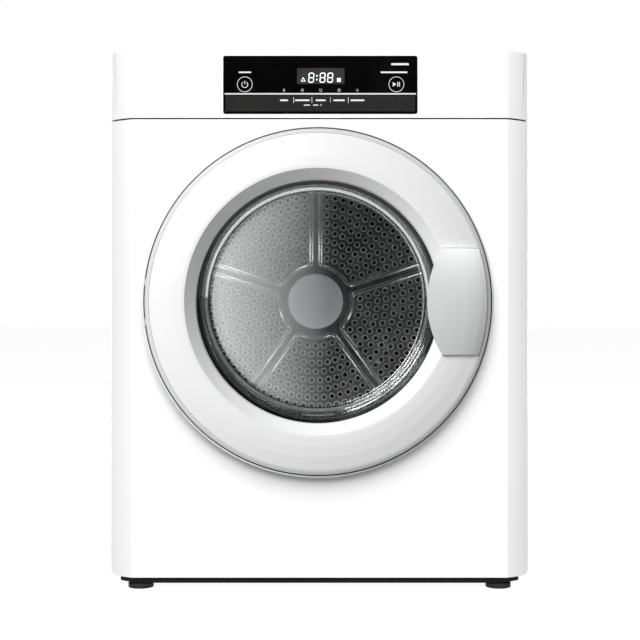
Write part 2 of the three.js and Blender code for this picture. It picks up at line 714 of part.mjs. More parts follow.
const finishes = {
  enamel: { color: 0xf4f5f4, roughness: 0.35, metalness: 0 },
  whitePlastic: { color: 0xf2f3f2, roughness: 0.3, metalness: 0 },
  pearl: { color: 0xdadcdc, roughness: 0.3, metalness: 0.2 },
  blackGloss: { color: 0x060606, roughness: 0.12, metalness: 0 },
  silver: { color: 0xb9bcbd, roughness: 0.25, metalness: 0.9 },
  glass: { color: 0x8b9193, roughness: 0.05, metalness: 0, transparent: true, opacity: 0.4 },
  greyPlastic: { color: 0x6d7072, roughness: 0.5, metalness: 0 },
  galvanised: { color: 0x9da2a4, roughness: 0.45, metalness: 0.8 },
  steel: { color: 0xa8a9a7, roughness: 0.3, metalness: 0.9 },
  blackPlastic: { color: 0x1c1d1e, roughness: 0.6, metalness: 0 },
  rubber: { color: 0x242526, roughness: 0.85, metalness: 0 },
  felt: { color: 0xb6b1a4, roughness: 0.95, metalness: 0 },
  board: { color: 0x1f5b39, roughness: 0.6, metalness: 0 },
};

function piece(name, geometry, finish, x = 0, y = 0, z = 0) {
  const mesh = new Mesh(geometry, new MeshStandardMaterial(finishes[finish]));
  mesh.name = name;
  mesh.position.set(x, y, z);
  return mesh;
}

// ---------------------------------------------------------------- assembly

const cabinet = new Group();
cabinet.add(
  piece('base_pan', basePan(), 'blackPlastic'),
  piece('side_panel_left', sidePanel(-1), 'enamel'),
  piece('side_panel_right', sidePanel(1), 'enamel'),
  piece('rear_panel', rearPanel(), 'galvanised'),
  piece('top_cover', topCover(), 'enamel'),
  piece('front_panel', frontPanel(), 'enamel'),
  piece('control_fascia', controlFascia(), 'whitePlastic'),
  piece('display_window', displayWindow(), 'blackGloss'),
  piece('trim_strip', trimStrip(), 'silver'),
  piece('control_board', controlBoard(), 'board'),
  piece('front_bulkhead', frontBulkhead(), 'galvanised'),
  piece('door_gasket', doorGasket(), 'rubber', door.x, door.y),
  piece('drum_front_seal', drumFrontSeal(), 'felt', drum.x, drum.y),
  piece('drum_rear_seal', drumRearSeal(), 'felt', drum.x, drum.y),
  piece('rear_duct_cover', rearDuctCover(), 'galvanised', drum.x, drum.y),
  piece('heater', heater(), 'steel', drum.x, drum.y),
  piece('thermostat', thermostat(), 'blackPlastic', drum.x + stat.x, drum.y + stat.y),
  piece('bearing_bracket', bearingBracket(), 'galvanised', drum.x, drum.y),
  piece('drum_bearing', drumBearing(), 'steel', drum.x, drum.y),
  piece('motor', motorUnit(), 'galvanised'),
  piece('fan_housing', fanHousing(), 'blackPlastic'),
  piece('lint_duct', lintDuct(), 'blackPlastic'),
  piece('exhaust_duct', exhaustDuct(), 'blackPlastic'),
  piece('exhaust_collar', exhaustCollar(), 'blackPlastic', exhaust.x, exhaust.y),
  piece('drive_belt', driveBelt(), 'rubber'),
  piece('latch_catch', latchCatch(), 'blackPlastic'),
  piece('hinge_bracket', hingeBracket(), 'galvanised'),
  piece('mains_gland', mainsGland(), 'blackPlastic', gland.x, gland.y),
);

const porthole = new Group();
porthole.position.set(door.x, door.y, body.front);
porthole.add(
  piece('door_ring', doorRing(), 'whitePlastic'),
  piece('door_liner', doorLiner(), 'whitePlastic'),
  piece('door_glass', doorGlass(), 'glass'),
  piece('glass_clamp', glassClamp(), 'greyPlastic'),
  piece('door_handle', doorHandle(), 'pearl'),
  piece('door_strike', doorStrike(), 'greyPlastic'),
  piece('hinge_arm', hingeArm(), 'galvanised'),
);

const drumGroup = new Group();
drumGroup.position.set(drum.x, drum.y, 0);
drumGroup.add(
  piece('drum_shell', drumShell(), 'steel'),
  piece('drum_back', drumBack(), 'steel'),
  piece('drum_shaft', drumShaft(), 'steel'),
  piece('hub_cap', hubCap(), 'greyPlastic'),
);
for (let index = 0; index < LIFTERS; index += 1) {
  const fin = piece(`lifter_${index + 1}`, lifter(), 'greyPlastic');
  fin.rotation.z = MathUtils.degToRad(36 + index * 360 / LIFTERS);
  drumGroup.add(fin);
}

const drive = new Group();
drive.add(
  piece('rotor_shaft', rotorShaft(), 'steel', motor.x, motor.y),
  piece('fan_wheel', fanWheel(), 'blackPlastic', motor.x, motor.y),
  piece('idler_arm', idlerArm(), 'galvanised'),
  piece('idler_wheel', ring(idler.bore, idler.radius, -45, -35, SMALL), 'greyPlastic', ...idlerCentre()),
);

const rollers = new Group();
[['left', -1], ['right', 1]].forEach(([name, side]) => {
  const wheel = ring(roller.bore, roller.radius, roller.rear, roller.front, MEDIUM);
  rollers.add(piece(`support_roller_${name}`, wheel, 'greyPlastic', ...rollerCentre(side)));
});

const controls = new Group();
controls.add(
  piece('lint_filter', lintFilter(), 'greyPlastic'),
  piece('power_key', roundKey(), 'blackGloss', roundKeys.power, roundKeys.y),
  piece('start_key', roundKey(), 'blackGloss', roundKeys.start, roundKeys.y),
);
for (let index = 0; index < PROGRAMME_KEYS; index += 1) {
  controls.add(piece(`programme_key_${index + 1}`, programmeKey(), 'blackGloss', touchKeyX(index), touchKeys.y));
}

const feet = new Group();
[['front', foot.front], ['rear', foot.rear]].forEach(([place, z]) => {
  [['left', -1], ['right', 1]].forEach(([name, side]) => {
    const pad = piece(`foot_${place}_${name}`, levellingFoot(), 'rubber', side * foot.x, 0, z);
    pad.rotation.x = -Math.PI / 2;
    feet.add(pad);
  });
});

// Working frame to part frame: y up becomes +Z up, and the front turns to face -Y.
const dryer = new Group();
dryer.rotation.x = Math.PI / 2;
dryer.add(cabinet, porthole, drumGroup, drive, rollers, controls, feet);

const part = new Group();
part.add(dryer);

export default part;
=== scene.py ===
"""Compact vented clothes dryer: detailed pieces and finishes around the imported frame.

Lengths in the shape code are in millimetres as (x, out, up): x to the viewer's right, out towards the viewer and up
from the floor. The helper at() turns them into the frame's metres, where +Z is up and the front faces -Y.
"""

import json
import math
import random

import bmesh
import bpy
from mathutils import Matrix, Vector
from mathutils.geometry import delaunay_2d_cdt

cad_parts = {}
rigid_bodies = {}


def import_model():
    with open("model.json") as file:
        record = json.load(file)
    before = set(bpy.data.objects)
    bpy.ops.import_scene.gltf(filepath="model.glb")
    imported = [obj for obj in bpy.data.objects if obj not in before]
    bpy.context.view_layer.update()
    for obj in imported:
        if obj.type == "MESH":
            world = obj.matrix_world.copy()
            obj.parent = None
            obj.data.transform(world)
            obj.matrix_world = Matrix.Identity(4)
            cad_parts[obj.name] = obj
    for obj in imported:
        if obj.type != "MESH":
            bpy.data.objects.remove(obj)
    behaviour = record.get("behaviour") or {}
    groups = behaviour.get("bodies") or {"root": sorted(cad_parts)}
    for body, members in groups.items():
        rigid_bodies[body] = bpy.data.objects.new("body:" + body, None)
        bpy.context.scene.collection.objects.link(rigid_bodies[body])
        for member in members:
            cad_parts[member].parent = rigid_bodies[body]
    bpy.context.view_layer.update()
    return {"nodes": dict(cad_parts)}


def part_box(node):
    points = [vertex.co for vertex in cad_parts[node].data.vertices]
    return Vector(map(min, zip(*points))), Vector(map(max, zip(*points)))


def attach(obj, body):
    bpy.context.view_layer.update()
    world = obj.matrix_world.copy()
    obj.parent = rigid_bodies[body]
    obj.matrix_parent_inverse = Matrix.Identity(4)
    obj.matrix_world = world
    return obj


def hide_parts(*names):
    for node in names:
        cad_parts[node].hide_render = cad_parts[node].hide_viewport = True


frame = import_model()
NODES = frame["nodes"]
MM = 0.001
TURN = 2 * math.pi


def at(x, out, up):
    """A point of the shape code as a point of the frame, in metres."""
    return Vector((x, -out, up)) * MM


def middle_of(node):
    """x and up of a node's centre line, in millimetres."""
    low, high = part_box(node)
    return (low.x + high.x) / 2 / MM, (low.z + high.z) / 2 / MM


DOOR_X, DOOR_UP = middle_of("door_liner")
DRUM_X, DRUM_UP = middle_of("drum_shell")
FRONT = -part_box("front_panel")[0].y / MM
BACK = -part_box("rear_panel")[1].y / MM
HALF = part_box("front_panel")[1].x / MM
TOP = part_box("control_fascia")[1].z / MM
PANEL_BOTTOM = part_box("front_panel")[0].z / MM
PANEL_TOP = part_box("front_panel")[1].z / MM
FASCIA_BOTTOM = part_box("control_fascia")[0].z / MM
FASCIA_REAR = -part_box("control_fascia")[1].y / MM
SIDE_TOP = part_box("side_panel_left")[1].z / MM
FRONT_CORNER = 27
DRUM_FACE = -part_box("drum_back")[0].y / MM
DRUM_FRONT = -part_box("drum_shell")[0].y / MM
DRUM_REAR = -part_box("drum_shell")[1].y / MM
DRUM_RADIUS = 222
COVER_BACK = -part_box("rear_duct_cover")[1].y / MM

# ---------------------------------------------------------------- node materials


class Finish:
    """One procedural material under construction."""

    def __init__(self, name):
        self.material = bpy.data.materials.new(name)
        self.material.use_nodes = True
        self.tree = self.material.node_tree
        self.shader = self.tree.nodes["Principled BSDF"]
        self.coordinates = self.tree.nodes.new("ShaderNodeTexCoord").outputs["Object"]

    def node(self, kind, **settings):
        made = self.tree.nodes.new(kind)
        for key, value in settings.items():
            setattr(made, key, value)
        return made

    def link(self, output, target):
        self.tree.links.new(output, target)

    def scaled(self, scale):
        """Object coordinates stretched by scale, a triple."""
        mapping = self.node("ShaderNodeMapping")
        mapping.inputs["Scale"].default_value = scale
        self.link(self.coordinates, mapping.inputs["Vector"])
        return mapping.outputs["Vector"]

    def noise(self, scale, detail=3.0, roughness=0.55, stretch=(1, 1, 1)):
        made = self.node("ShaderNodeTexNoise")
        made.inputs["Scale"].default_value = scale
        made.inputs["Detail"].default_value = detail
        made.inputs["Roughness"].default_value = roughness
        self.link(self.scaled(stretch), made.inputs["Vector"])
        return made.outputs["Fac"]

    def ramp(self, factor, stops):
        """Colours or greys along a factor. stops is [(place, grey or colour), ...]."""
        made = self.node("ShaderNodeValToRGB")
        elements = made.color_ramp.elements
        while len(elements) < len(stops):
            elements.new(0.5)
        for element, (place, value) in zip(elements, stops):
            element.position = place
            colour = (value,) * 3 if isinstance(value, (int, float)) else value
            element.color = (*colour, 1)
        self.link(factor, made.inputs["Fac"])
        return made.outputs["Color"]

    def colour(self, factor, stops):
        self.link(self.ramp(factor, stops), self.shader.inputs["Base Color"])

    def gloss(self, factor, low, high):
        """Roughness that wanders between low and high."""
        self.link(self.ramp(factor, [(0.3, low), (0.7, high)]), self.shader.inputs["Roughness"])

    def bump(self, factor, strength, distance):
        made = self.node("ShaderNodeBump")
        made.inputs["Strength"].default_value = strength
        made.inputs["Distance"].default_value = distance
        if self.shader.inputs["Normal"].is_linked:
            self.link(self.shader.inputs["Normal"].links[0].from_socket, made.inputs["Normal"])
        self.link(factor, made.inputs["Height"])
        self.link(made.outputs["Normal"], self.shader.inputs["Normal"])

    def math(self, operation, first, second):
        made = self.node("ShaderNodeMath", operation=operation)
        for socket, value in zip(made.inputs, (first, second)):
            if isinstance(value, (int, float)):
                socket.default_value = value
            else:
                self.link(value, socket)
        return made.outputs["Value"]

    def axes(self):
        made = self.node("ShaderNodeSeparateXYZ")
        self.link(self.coordinates, made.inputs["Vector"])
        return made.outputs

    def set(self, **values):
        for key, value in values.items():
            self.shader.inputs[key.replace("_", " ")].default_value = value
        return self.material


def painted_white(name, light, dark, rough, peel):
    """Stove enamel or a white moulding: faint mottle, uneven gloss and a fine skin."""
    made = Finish(name)
    made.colour(made.noise(7, 4), [(0.35, dark), (0.65, light)])
    made.gloss(made.noise(60, 3), rough - 0.02, rough + 0.03)
    made.bump(made.noise(peel, 2), 0.05, 0.0001)
    return made.set(Coat_Weight=0.25, Coat_Roughness=0.12, IOR=1.5)


def sheet_metal(name, light, dark, rough, brush, spangle=0.0):
    """Rolled or zinc-coated sheet. brush stretches the grain, and spangle is the size of the zinc's crystals."""
    made = Finish(name)
    grain = made.noise(90, 4, 0.6, brush)
    made.colour(grain, [(0.3, dark), (0.7, light)])
    made.gloss(grain, rough - 0.07, rough + 0.1)
    made.bump(grain, 0.12, 0.0002)
    if spangle:
        cells = made.node("ShaderNodeTexVoronoi")
        cells.inputs["Scale"].default_value = 1 / spangle
        made.link(made.coordinates, cells.inputs["Vector"])
        shade = made.node("ShaderNodeSeparateColor")
        made.link(cells.outputs["Color"], shade.inputs["Color"])
        made.colour(shade.outputs["Red"], [(0.0, dark), (1.0, light)])
    return made.set(Metallic=1.0, IOR=1.5)


def moulded(name, light, dark, rough, grain=900, depth=0.00025, strength=0.15, specular=0.5):
    """A moulded plastic with a spark-eroded grain."""
    made = Finish(name)
    made.colour(made.noise(14, 4), [(0.35, dark), (0.65, light)])
    made.gloss(made.noise(45, 3), rough - 0.06, rough + 0.08)
    made.bump(made.noise(grain, 2), strength, depth)
    return made.set(IOR=1.5, Specular_IOR_Level=specular)


def control_black():
    """Polished black acrylic with a dark grey screened band where the programme keys lie."""
    made = Finish("control_black")
    x, _, up = made.axes()
    inside = made.math("LESS_THAN", made.math("ABSOLUTE", made.math("SUBTRACT", x, 0.0009), 0), 0.1112)
    band = made.math("MULTIPLY", made.math("LESS_THAN", up, 0.57935), made.math("GREATER_THAN", up, 0.5603))
    weave = made.node("ShaderNodeTexChecker")
    weave.inputs["Scale"].default_value = 1400
    made.link(made.coordinates, weave.inputs["Vector"])
    screen = made.ramp(weave.outputs["Fac"], [(0.4, (0.007, 0.007, 0.007)), (0.6, (0.035, 0.035, 0.034))])
    mix = made.node("ShaderNodeMix", data_type="RGBA")
    made.link(made.math("MULTIPLY", inside, band), mix.inputs["Factor"])
    mix.inputs["A"].default_value = (0.001, 0.001, 0.0011, 1)
    made.link(screen, mix.inputs["B"])
    made.link(mix.outputs["Result"], made.shader.inputs["Base Color"])
    made.gloss(made.noise(25, 4), 0.05, 0.11)
    made.bump(made.noise(500, 2), 0.02, 0.0001)
    return made.set(IOR=1.49, Coat_Weight=0.3, Coat_Roughness=0.04)


def clear_glass():
    """Pressed glass with a reflecting coat: it lets what is behind it through, under a strong Fresnel reflection."""
    made = Finish("door_glass")
    tree = made.tree
    tree.nodes.remove(made.shader)
    clear = made.node("ShaderNodeBsdfTransparent")
    clear.inputs["Color"].default_value = (0.9, 0.925, 0.925, 1)
    shine = made.node("ShaderNodeBsdfGlossy")
    shine.inputs["Color"].default_value = (1, 1, 1, 1)
    ripple = made.node("ShaderNodeBump")
    ripple.inputs["Strength"].default_value = 0.03
    ripple.inputs["Distance"].default_value = 0.0004
    made.link(made.noise(14, 2), ripple.inputs["Height"])
    made.link(ripple.outputs["Normal"], shine.inputs["Normal"])
    made.link(made.ramp(made.noise(9, 3), [(0.35, 0.02), (0.65, 0.05)]), shine.inputs["Roughness"])
    edge = made.node("ShaderNodeFresnel")
    edge.inputs["IOR"].default_value = 2.2
    mix = made.node("ShaderNodeMixShader")
    made.link(edge.outputs["Fac"], mix.inputs["Fac"])
    made.link(clear.outputs["BSDF"], mix.inputs[1])
    made.link(shine.outputs["BSDF"], mix.inputs[2])
    made.link(mix.outputs["Shader"], tree.nodes["Material Output"].inputs["Surface"])
    return made.material


def brushed_round(name, light, dark, rough, centre):
    """Stainless sheet brushed in circles about the drum's axis."""
    made = Finish(name)
    x, out, up = made.axes()
    across = made.math("POWER", made.math("SUBTRACT", x, centre[0] * MM), 2)
    rise = made.math("POWER", made.math("SUBTRACT", up, centre[1] * MM), 2)
    reach = made.math("SQRT", made.math("ADD", across, rise), 0)
    place = made.node("ShaderNodeCombineXYZ")
    made.link(made.math("MULTIPLY", reach, 900), place.inputs["X"])
    made.link(made.math("MULTIPLY", out, 900), place.inputs["Y"])
    lines = made.node("ShaderNodeTexNoise")
    lines.inputs["Scale"].default_value = 1
    lines.inputs["Detail"].default_value = 4
    made.link(place.outputs["Vector"], lines.inputs["Vector"])
    made.colour(lines.outputs["Fac"], [(0.3, dark), (0.7, light)])
    made.gloss(made.noise(30, 3), rough - 0.05, rough + 0.08)
    made.bump(lines.outputs["Fac"], 0.08, 0.0002)
    return made.set(Metallic=1.0)


def embossed_round(name, light, dark, rough, centre, plane):
    """Brushed drum steel whose raised lips and beads are painted lighter and duller than the flat at plane: a painted
    highlight where they would catch the light.
    """
    material = brushed_round(name, light, dark, rough, centre)
    tree = material.node_tree
    shader = tree.nodes["Principled BSDF"]
    place = tree.nodes.new("ShaderNodeTexCoord")
    axes = tree.nodes.new("ShaderNodeSeparateXYZ")
    tree.links.new(place.outputs["Object"], axes.inputs["Vector"])
    def rising(low, high, start, end):
        """start below low and end above high, where both are heights above the plane in millimetres."""
        made = tree.nodes.new("ShaderNodeMapRange")
        tree.links.new(axes.outputs["Y"], made.inputs["Value"])
        for key, value in (("From Min", -(plane + high) * MM), ("From Max", -(plane + low) * MM), ("To Min", end), ("To Max", start)):
            made.inputs[key].default_value = value
        return made.outputs["Result"]

    # Painted highlight: the raised lips and beads get a lighter, rougher steel than the flat between them.
    lifted_highlight = tree.nodes.new("ShaderNodeMath")
    lifted_highlight.operation = "MULTIPLY"
    tree.links.new(rising(0.05, 0.25, 0, 1), lifted_highlight.inputs[0])
    tree.links.new(rising(1.3, 1.9, 1, 0.1), lifted_highlight.inputs[1])
    for socket, value in (("Base Color", 0.60), ("Roughness", 0.38)):
        old = shader.inputs[socket].links[0].from_socket
        mix = tree.nodes.new("ShaderNodeMix")
        mix.data_type = "RGBA"
        tree.links.new(lifted_highlight.outputs["Value"], mix.inputs["Factor"])
        tree.links.new(old, mix.inputs["A"])
        mix.inputs["B"].default_value = (value, value, value, 1)
        tree.links.new(mix.outputs["Result"], shader.inputs[socket])
    return material


def rubber_black(name):
    made = Finish(name)
    made.colour(made.noise(30, 4), [(0.3, 0.004), (0.7, 0.009)])
    made.gloss(made.noise(80, 3), 0.5, 0.7)
    made.bump(made.noise(1500, 2), 0.2, 0.0002)
    return made.set(IOR=1.45)


def wool_felt():
    made = Finish("wool_felt")
    fibre = made.noise(700, 5, 0.7)
    made.colour(fibre, [(0.3, (0.33, 0.31, 0.27)), (0.7, (0.62, 0.59, 0.52))])
    made.bump(fibre, 0.7, 0.0008)
    made.shader.inputs["Roughness"].default_value = 0.95
    return made.set(Sheen_Weight=0.3)


def green_board():
    made = Finish("circuit_board")
    tracks = made.node("ShaderNodeTexBrick")
    tracks.inputs["Scale"].default_value = 220
    tracks.inputs["Mortar Size"].default_value = 0.06
    tracks.inputs["Color1"].default_value = (0.012, 0.10, 0.045, 1)
    tracks.inputs["Color2"].default_value = (0.010, 0.075, 0.035, 1)
    tracks.inputs["Mortar"].default_value = (0.03, 0.19, 0.09, 1)
    made.link(made.scaled((1, 0.02, 1)), tracks.inputs["Vector"])
    made.link(tracks.outputs["Color"], made.shader.inputs["Base Color"])
    made.gloss(made.noise(60), 0.3, 0.45)
    return made.set(IOR=1.5)


def printed(name, colour, strength=0.0):
    """Screen print, or a lit segment when strength is above zero."""
    made = Finish(name)
    made.colour(made.noise(400, 2), [(0.3, tuple(c * 0.9 for c in colour)), (0.7, colour)])
    made.gloss(made.noise(200), 0.4, 0.55)
    return made.set(Emission_Color=(*colour, 1), Emission_Strength=strength)


ENAMEL = painted_white("white_enamel", (0.875, 0.879, 0.877), (0.869, 0.873, 0.871), 0.34, 520)
WHITE = painted_white("white_moulding", (0.875, 0.879, 0.877), (0.869, 0.873, 0.871), 0.3, 800)
# The door's shoulder band gets a mid grey: painted shade standing in for the shading of its steep edge.
EDGE_SHADE = painted_white("edge_moulding_painted_shade", (0.70, 0.705, 0.703), (0.69, 0.695, 0.693), 0.32, 800)
PEARL = painted_white("pearl_moulding", (0.54, 0.545, 0.545), (0.53, 0.535, 0.535), 0.32, 900)
BLACK = control_black()
GLASS = clear_glass()
DARK_RIM = moulded("black_glass_rim", 0.006, 0.004, 0.14, 300, 0.0001, 0.03)
TRIM = moulded("silver_trim", 0.66, 0.62, 0.35, 900, 0.0001, 0.02)
GALVANISED = sheet_metal("zinc_sheet", 0.54, 0.46, 0.42, (1, 1, 1), 0.006)
STEEL = sheet_metal("bright_steel", 0.62, 0.5, 0.3, (1, 0.05, 1))
SCALED = sheet_metal("heated_steel", 0.14, 0.07, 0.5, (1, 0.05, 1))
DRUM_STEEL = brushed_round("drum_steel", 0.42, 0.32, 0.20, (DRUM_X, DRUM_UP))
WALL_STEEL = embossed_round("drum_wall_steel", 0.42, 0.28, 0.20, (DRUM_X, DRUM_UP), DRUM_FACE - 1.9)
GREY = moulded("grey_moulding", 0.235, 0.205, 0.42)
DARK = moulded("black_moulding", 0.009, 0.005, 0.55, specular=0.12)
RUBBER = rubber_black("black_rubber")
FELT = wool_felt()
BOARD = green_board()
# The white print glows faintly (emission 0.10): painted light, since the print is no lamp.
GLOWING_INK = printed("white_print_glowing", (0.62, 0.62, 0.62), 0.10)
LIT = printed("lit_segments", (0.92, 0.95, 0.95), 0.55)
LCD = moulded("display_glass", 0.026, 0.020, 0.2, 700, 0.0001, 0.04)

# ---------------------------------------------------------------- mesh tools


def new_object(name, mesh):
    made = bpy.data.objects.new(name, mesh)
    bpy.context.scene.collection.objects.link(made)
    return made


def from_data(name, points, faces):
    """A mesh object with outward normals from points in metres."""
    mesh = bpy.data.meshes.new(name)
    mesh.from_pydata([tuple(p) for p in points], [], faces)
    work = bmesh.new()
    work.from_mesh(mesh)
    bmesh.ops.recalc_face_normals(work, faces=work.faces)
    work.to_mesh(mesh)
    work.free()
    return new_object(name, mesh)


def fillet(outline, steps=5):
    """A closed 2-D outline whose points are (x, y) or (x, y, radius); each radius becomes an arc."""
    result = []
    count = len(outline)
    for i, point in enumerate(outline):
        here = Vector(point[:2])
        radius = point[2] if len(point) > 2 else 0
        before = Vector(outline[i - 1][:2]) - here
        after = Vector(outline[(i + 1) % count][:2]) - here
        if radius <= 0:
            result.append(tuple(here))
            continue
        a, b = before.normalized(), after.normalized()
        half = math.acos(max(-1.0, min(1.0, a.dot(b)))) / 2
        if half > math.radians(89.5):
            result.append(tuple(here))
            continue
        cut = min(radius / math.tan(half), before.length * 0.49, after.length * 0.49)
        centre = here + (a + b).normalized() * (cut / math.cos(half))
        start, end = here + a * cut - centre, here + b * cut - centre
        sweep = start.angle_signed(end)
        first = math.atan2(start.y, start.x)
        for step in range(steps + 1):
            angle = first - sweep * step / steps
            result.append((centre.x + start.length * math.cos(angle), centre.y + start.length * math.sin(angle)))
    return result


def lathe(name, profile, x=DOOR_X, up=DOOR_UP, segments=160, steps=5, start=0.0, sweep=TURN):
    """A solid of revolution about a line towards the viewer. profile is a closed half section of (radius, out[, fillet])."""
    section = fillet(profile, steps)
    whole = abs(sweep - TURN) < 1e-6
    turns = segments if whole else segments + 1
    points, faces, rings = [], [], []
    for radius, out in section:
        if radius < 1e-6:
            rings.append([len(points)] * turns)
            points.append(at(x, out, up))
            continue
        rings.append([len(points) + k for k in range(turns)])
        for k in range(turns):
            angle = start + sweep * k / segments
            points.append(at(x + radius * math.cos(angle), out, up + radius * math.sin(angle)))
    for i, ring_a in enumerate(rings):
        ring_b = rings[(i + 1) % len(rings)]
        for k in range(segments):
            n = (k + 1) % turns
            quad = list(dict.fromkeys((ring_a[k], ring_a[n], ring_b[n], ring_b[k])))
            if len(quad) > 2:
                faces.append(quad)
    if not whole:
        faces.append([ring[0] for ring in rings])
        faces.append([ring[-1] for ring in rings])
    return from_data(name, points, faces)


def prism(name, outline, low, high, along, steps=6):
    """A 2-D outline made solid. along is "up" for a plan (x, out), "out" for a front view (x, up) or "x" for (out, up)."""
    section = fillet(outline, steps)
    place = {"up": lambda a, b, c: at(a, b, c), "out": lambda a, b, c: at(a, c, b), "x": lambda a, b, c: at(c, a, b)}[along]
    points = [place(a, b, low) for a, b in section] + [place(a, b, high) for a, b in section]
    count = len(section)
    faces = [list(range(count)), list(range(count, 2 * count))]
    faces += [[i, (i + 1) % count, (i + 1) % count + count, i + count] for i in range(count)]
    return from_data(name, points, faces)


def block(name, xs, outs, ups):
    return prism(name, [(xs[0], ups[0]), (xs[1], ups[0]), (xs[1], ups[1]), (xs[0], ups[1])], outs[0], outs[1], "out")


def rounded_box(x0, x1, y0, y1, radius):
    return [(x0, y0, radius), (x1, y0, radius), (x1, y1, radius), (x0, y1, radius)]


def circle(x, y, radius, count=32):
    return [(x + radius * math.cos(TURN * k / count), y + radius * math.sin(TURN * k / count)) for k in range(count)]


def applied(obj):
    """Turns the modifiers of obj into its mesh."""
    graph = bpy.context.evaluated_depsgraph_get()
    mesh = bpy.data.meshes.new_from_object(obj.evaluated_get(graph))
    obj.modifiers.clear()
    obj.data = mesh
    return obj


def cut(obj, *tools, operation="DIFFERENCE"):
    """obj without the tools, which are used up."""
    for tool in tools:
        modifier = obj.modifiers.new("cut", "BOOLEAN")
        modifier.object = tool
        modifier.operation = operation
        modifier.solver = "EXACT"
    applied(obj)
    for tool in tools:
        bpy.data.objects.remove(tool)
    return obj


def merged(name, *parts):
    """Several closed shells as the islands of one object."""
    work = bmesh.new()
    for part in parts:
        work.from_mesh(part.data)
    mesh = bpy.data.meshes.new(name)
    work.to_mesh(mesh)
    work.free()
    for part in parts:
        bpy.data.objects.remove(part)
    return new_object(name, mesh)


def round_edges(obj, chosen, width, segments=4):
    """Rounds the edges that chosen(edge) picks, by width in millimetres."""
    work = bmesh.new()
    work.from_mesh(obj.data)
    edges = [edge for edge in work.edges if chosen(edge)]
    bmesh.ops.bevel(work, geom=edges, offset=width * MM, segments=segments, profile=0.5, affect="EDGES")
    work.to_mesh(obj.data)
    work.free()
    return obj


def smooth(obj, angle=32):
    for polygon in obj.data.polygons:
        polygon.use_smooth = True
    obj.data.set_sharp_from_angle(angle=math.radians(angle))
    return obj


def soften(obj, width, segments=2, limit=38):
    """A small bevel on every sharp edge, with the flat faces kept flat."""
    bevel = obj.modifiers.new("soft_edges", "BEVEL")
    bevel.width = width * MM
    bevel.segments = segments
    bevel.limit_method = "ANGLE"
    bevel.angle_limit = math.radians(limit)
    bevel.harden_normals = False
    bevel.use_clamp_overlap = True
    return obj


DOOR_PIECES, OTHER_PIECES = [], []


def keep(obj, body, material, replaces=(), width=0, segments=2, angle=32):
    """The last step of each piece: edges, shading, finish, body and the CAD nodes that it stands for."""
    if width:
        soften(obj, width, segments)
        applied(obj)
    smooth(obj, angle)
    weigh = obj.modifiers.new("normals", "WEIGHTED_NORMAL")
    weigh.keep_sharp = True
    applied(obj)
    obj.data.materials.clear()
    obj.data.materials.append(material)
    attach(obj, body)
    (DOOR_PIECES if body == "door" else OTHER_PIECES).append(obj)
    if replaces:
        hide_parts(*replaces)
    return obj


def screw_heads(name, places, out, radius=3.6, sign=-1):
    """Cross-recessed pan heads standing on a sheet whose face is at out. sign is -1 on the back, 1 on the front."""
    heads = []
    for x, up in places:
        profile = [(0, out - sign), (radius, out - sign), (radius, out + sign * 0.7, 0.5),
                   (radius * 0.55, out + sign * 1.9, 1.5), (0, out + sign * 2.1)]
        head = lathe("head", profile, x, up, 24, 3)
        slots = [block("slot", (x - a, x + a), sorted((out + sign * 1.1, out + sign * 3)), (up - b, up + b))
                 for a, b in ((radius * 0.5, 0.45), (0.45, radius * 0.5))]
        heads.append(cut(head, *slots))
    return merged(name, *heads)

# ---------------------------------------------------------------- cabinet


def front_plan(inset, rear):
    """Plan of the cabinet's front: straight sides, a flat face and two corners that lean back from 30 to 46 degrees."""
    lean, steep = math.radians(30), math.radians(46)
    full = FRONT_CORNER / (math.sin(steep) - math.sin(lean))
    middle = HALF - FRONT_CORNER - full * math.sin(lean)
    back = FRONT - full * math.cos(lean)
    radius, half = full - inset, HALF - inset
    first = math.acos((FRONT - inset - back) / radius)
    last = math.asin((half - middle) / radius)
    turns = [first + (last - first) * k / 14 for k in range(1, 13)]
    arc = [(middle + radius * math.sin(t), back + radius * math.cos(t)) for t in turns]
    crease = (middle + radius * math.sin(first), FRONT - inset, 4)
    corner = (half, back + radius * math.cos(last), 3)
    right = [crease] + arc + [corner, (half, rear)]
    return right + [(-point[0], *point[1:]) for point in right[::-1]]


def corners_off(obj, low, high, at_top):
    """Rounds the two upper or the two lower corners of the front view."""
    upper, lower = (6, 0) if at_top else (0, 7)
    outline = [(-HALF - 0.02, low, lower), (HALF + 0.02, low, lower), (HALF + 0.02, high, upper), (-HALF - 0.02, high, upper)]
    return cut(obj, prism("outline", outline, -260, 260, "out", 8), operation="INTERSECT")


def near(value, target, tolerance=0.01):
    return abs(value / MM - target) < tolerance


def front_panel():
    rear = 147
    skin = prism("front_sheet", front_plan(0, rear), PANEL_BOTTOM, PANEL_TOP, "up", 8)
    corners_off(skin, PANEL_BOTTOM, PANEL_TOP + 1, False)
    hollow = prism("hollow", front_plan(1.2, rear - 5), PANEL_BOTTOM - 1, PANEL_TOP + 1, "up", 8)
    opening = prism("opening", circle(DOOR_X, DOOR_UP, 152.8, 128), 170, 190, "out")
    latch = block("latch", (165, 183), (170, 190), (DOOR_UP - 11, DOOR_UP + 11))
    ears = [block("ear", (-198, -178), (170, 190), (DOOR_UP + side * 23.5 - 3.5, DOOR_UP + side * 23.5 + 3.5))
            for side in (-1, 1)]
    cut(skin, hollow, opening, latch, *ears)
    soften(skin, 0.5, 2)
    applied(skin)
    flanges = [block("flange", (-219, 219), (160, 181.2), (up - 0.5, up + 0.5)) for up in (550, 14.6)]
    panel = merged("front_sheet", skin, *flanges)
    keep(panel, "cabinet", ENAMEL, ["front_panel"])


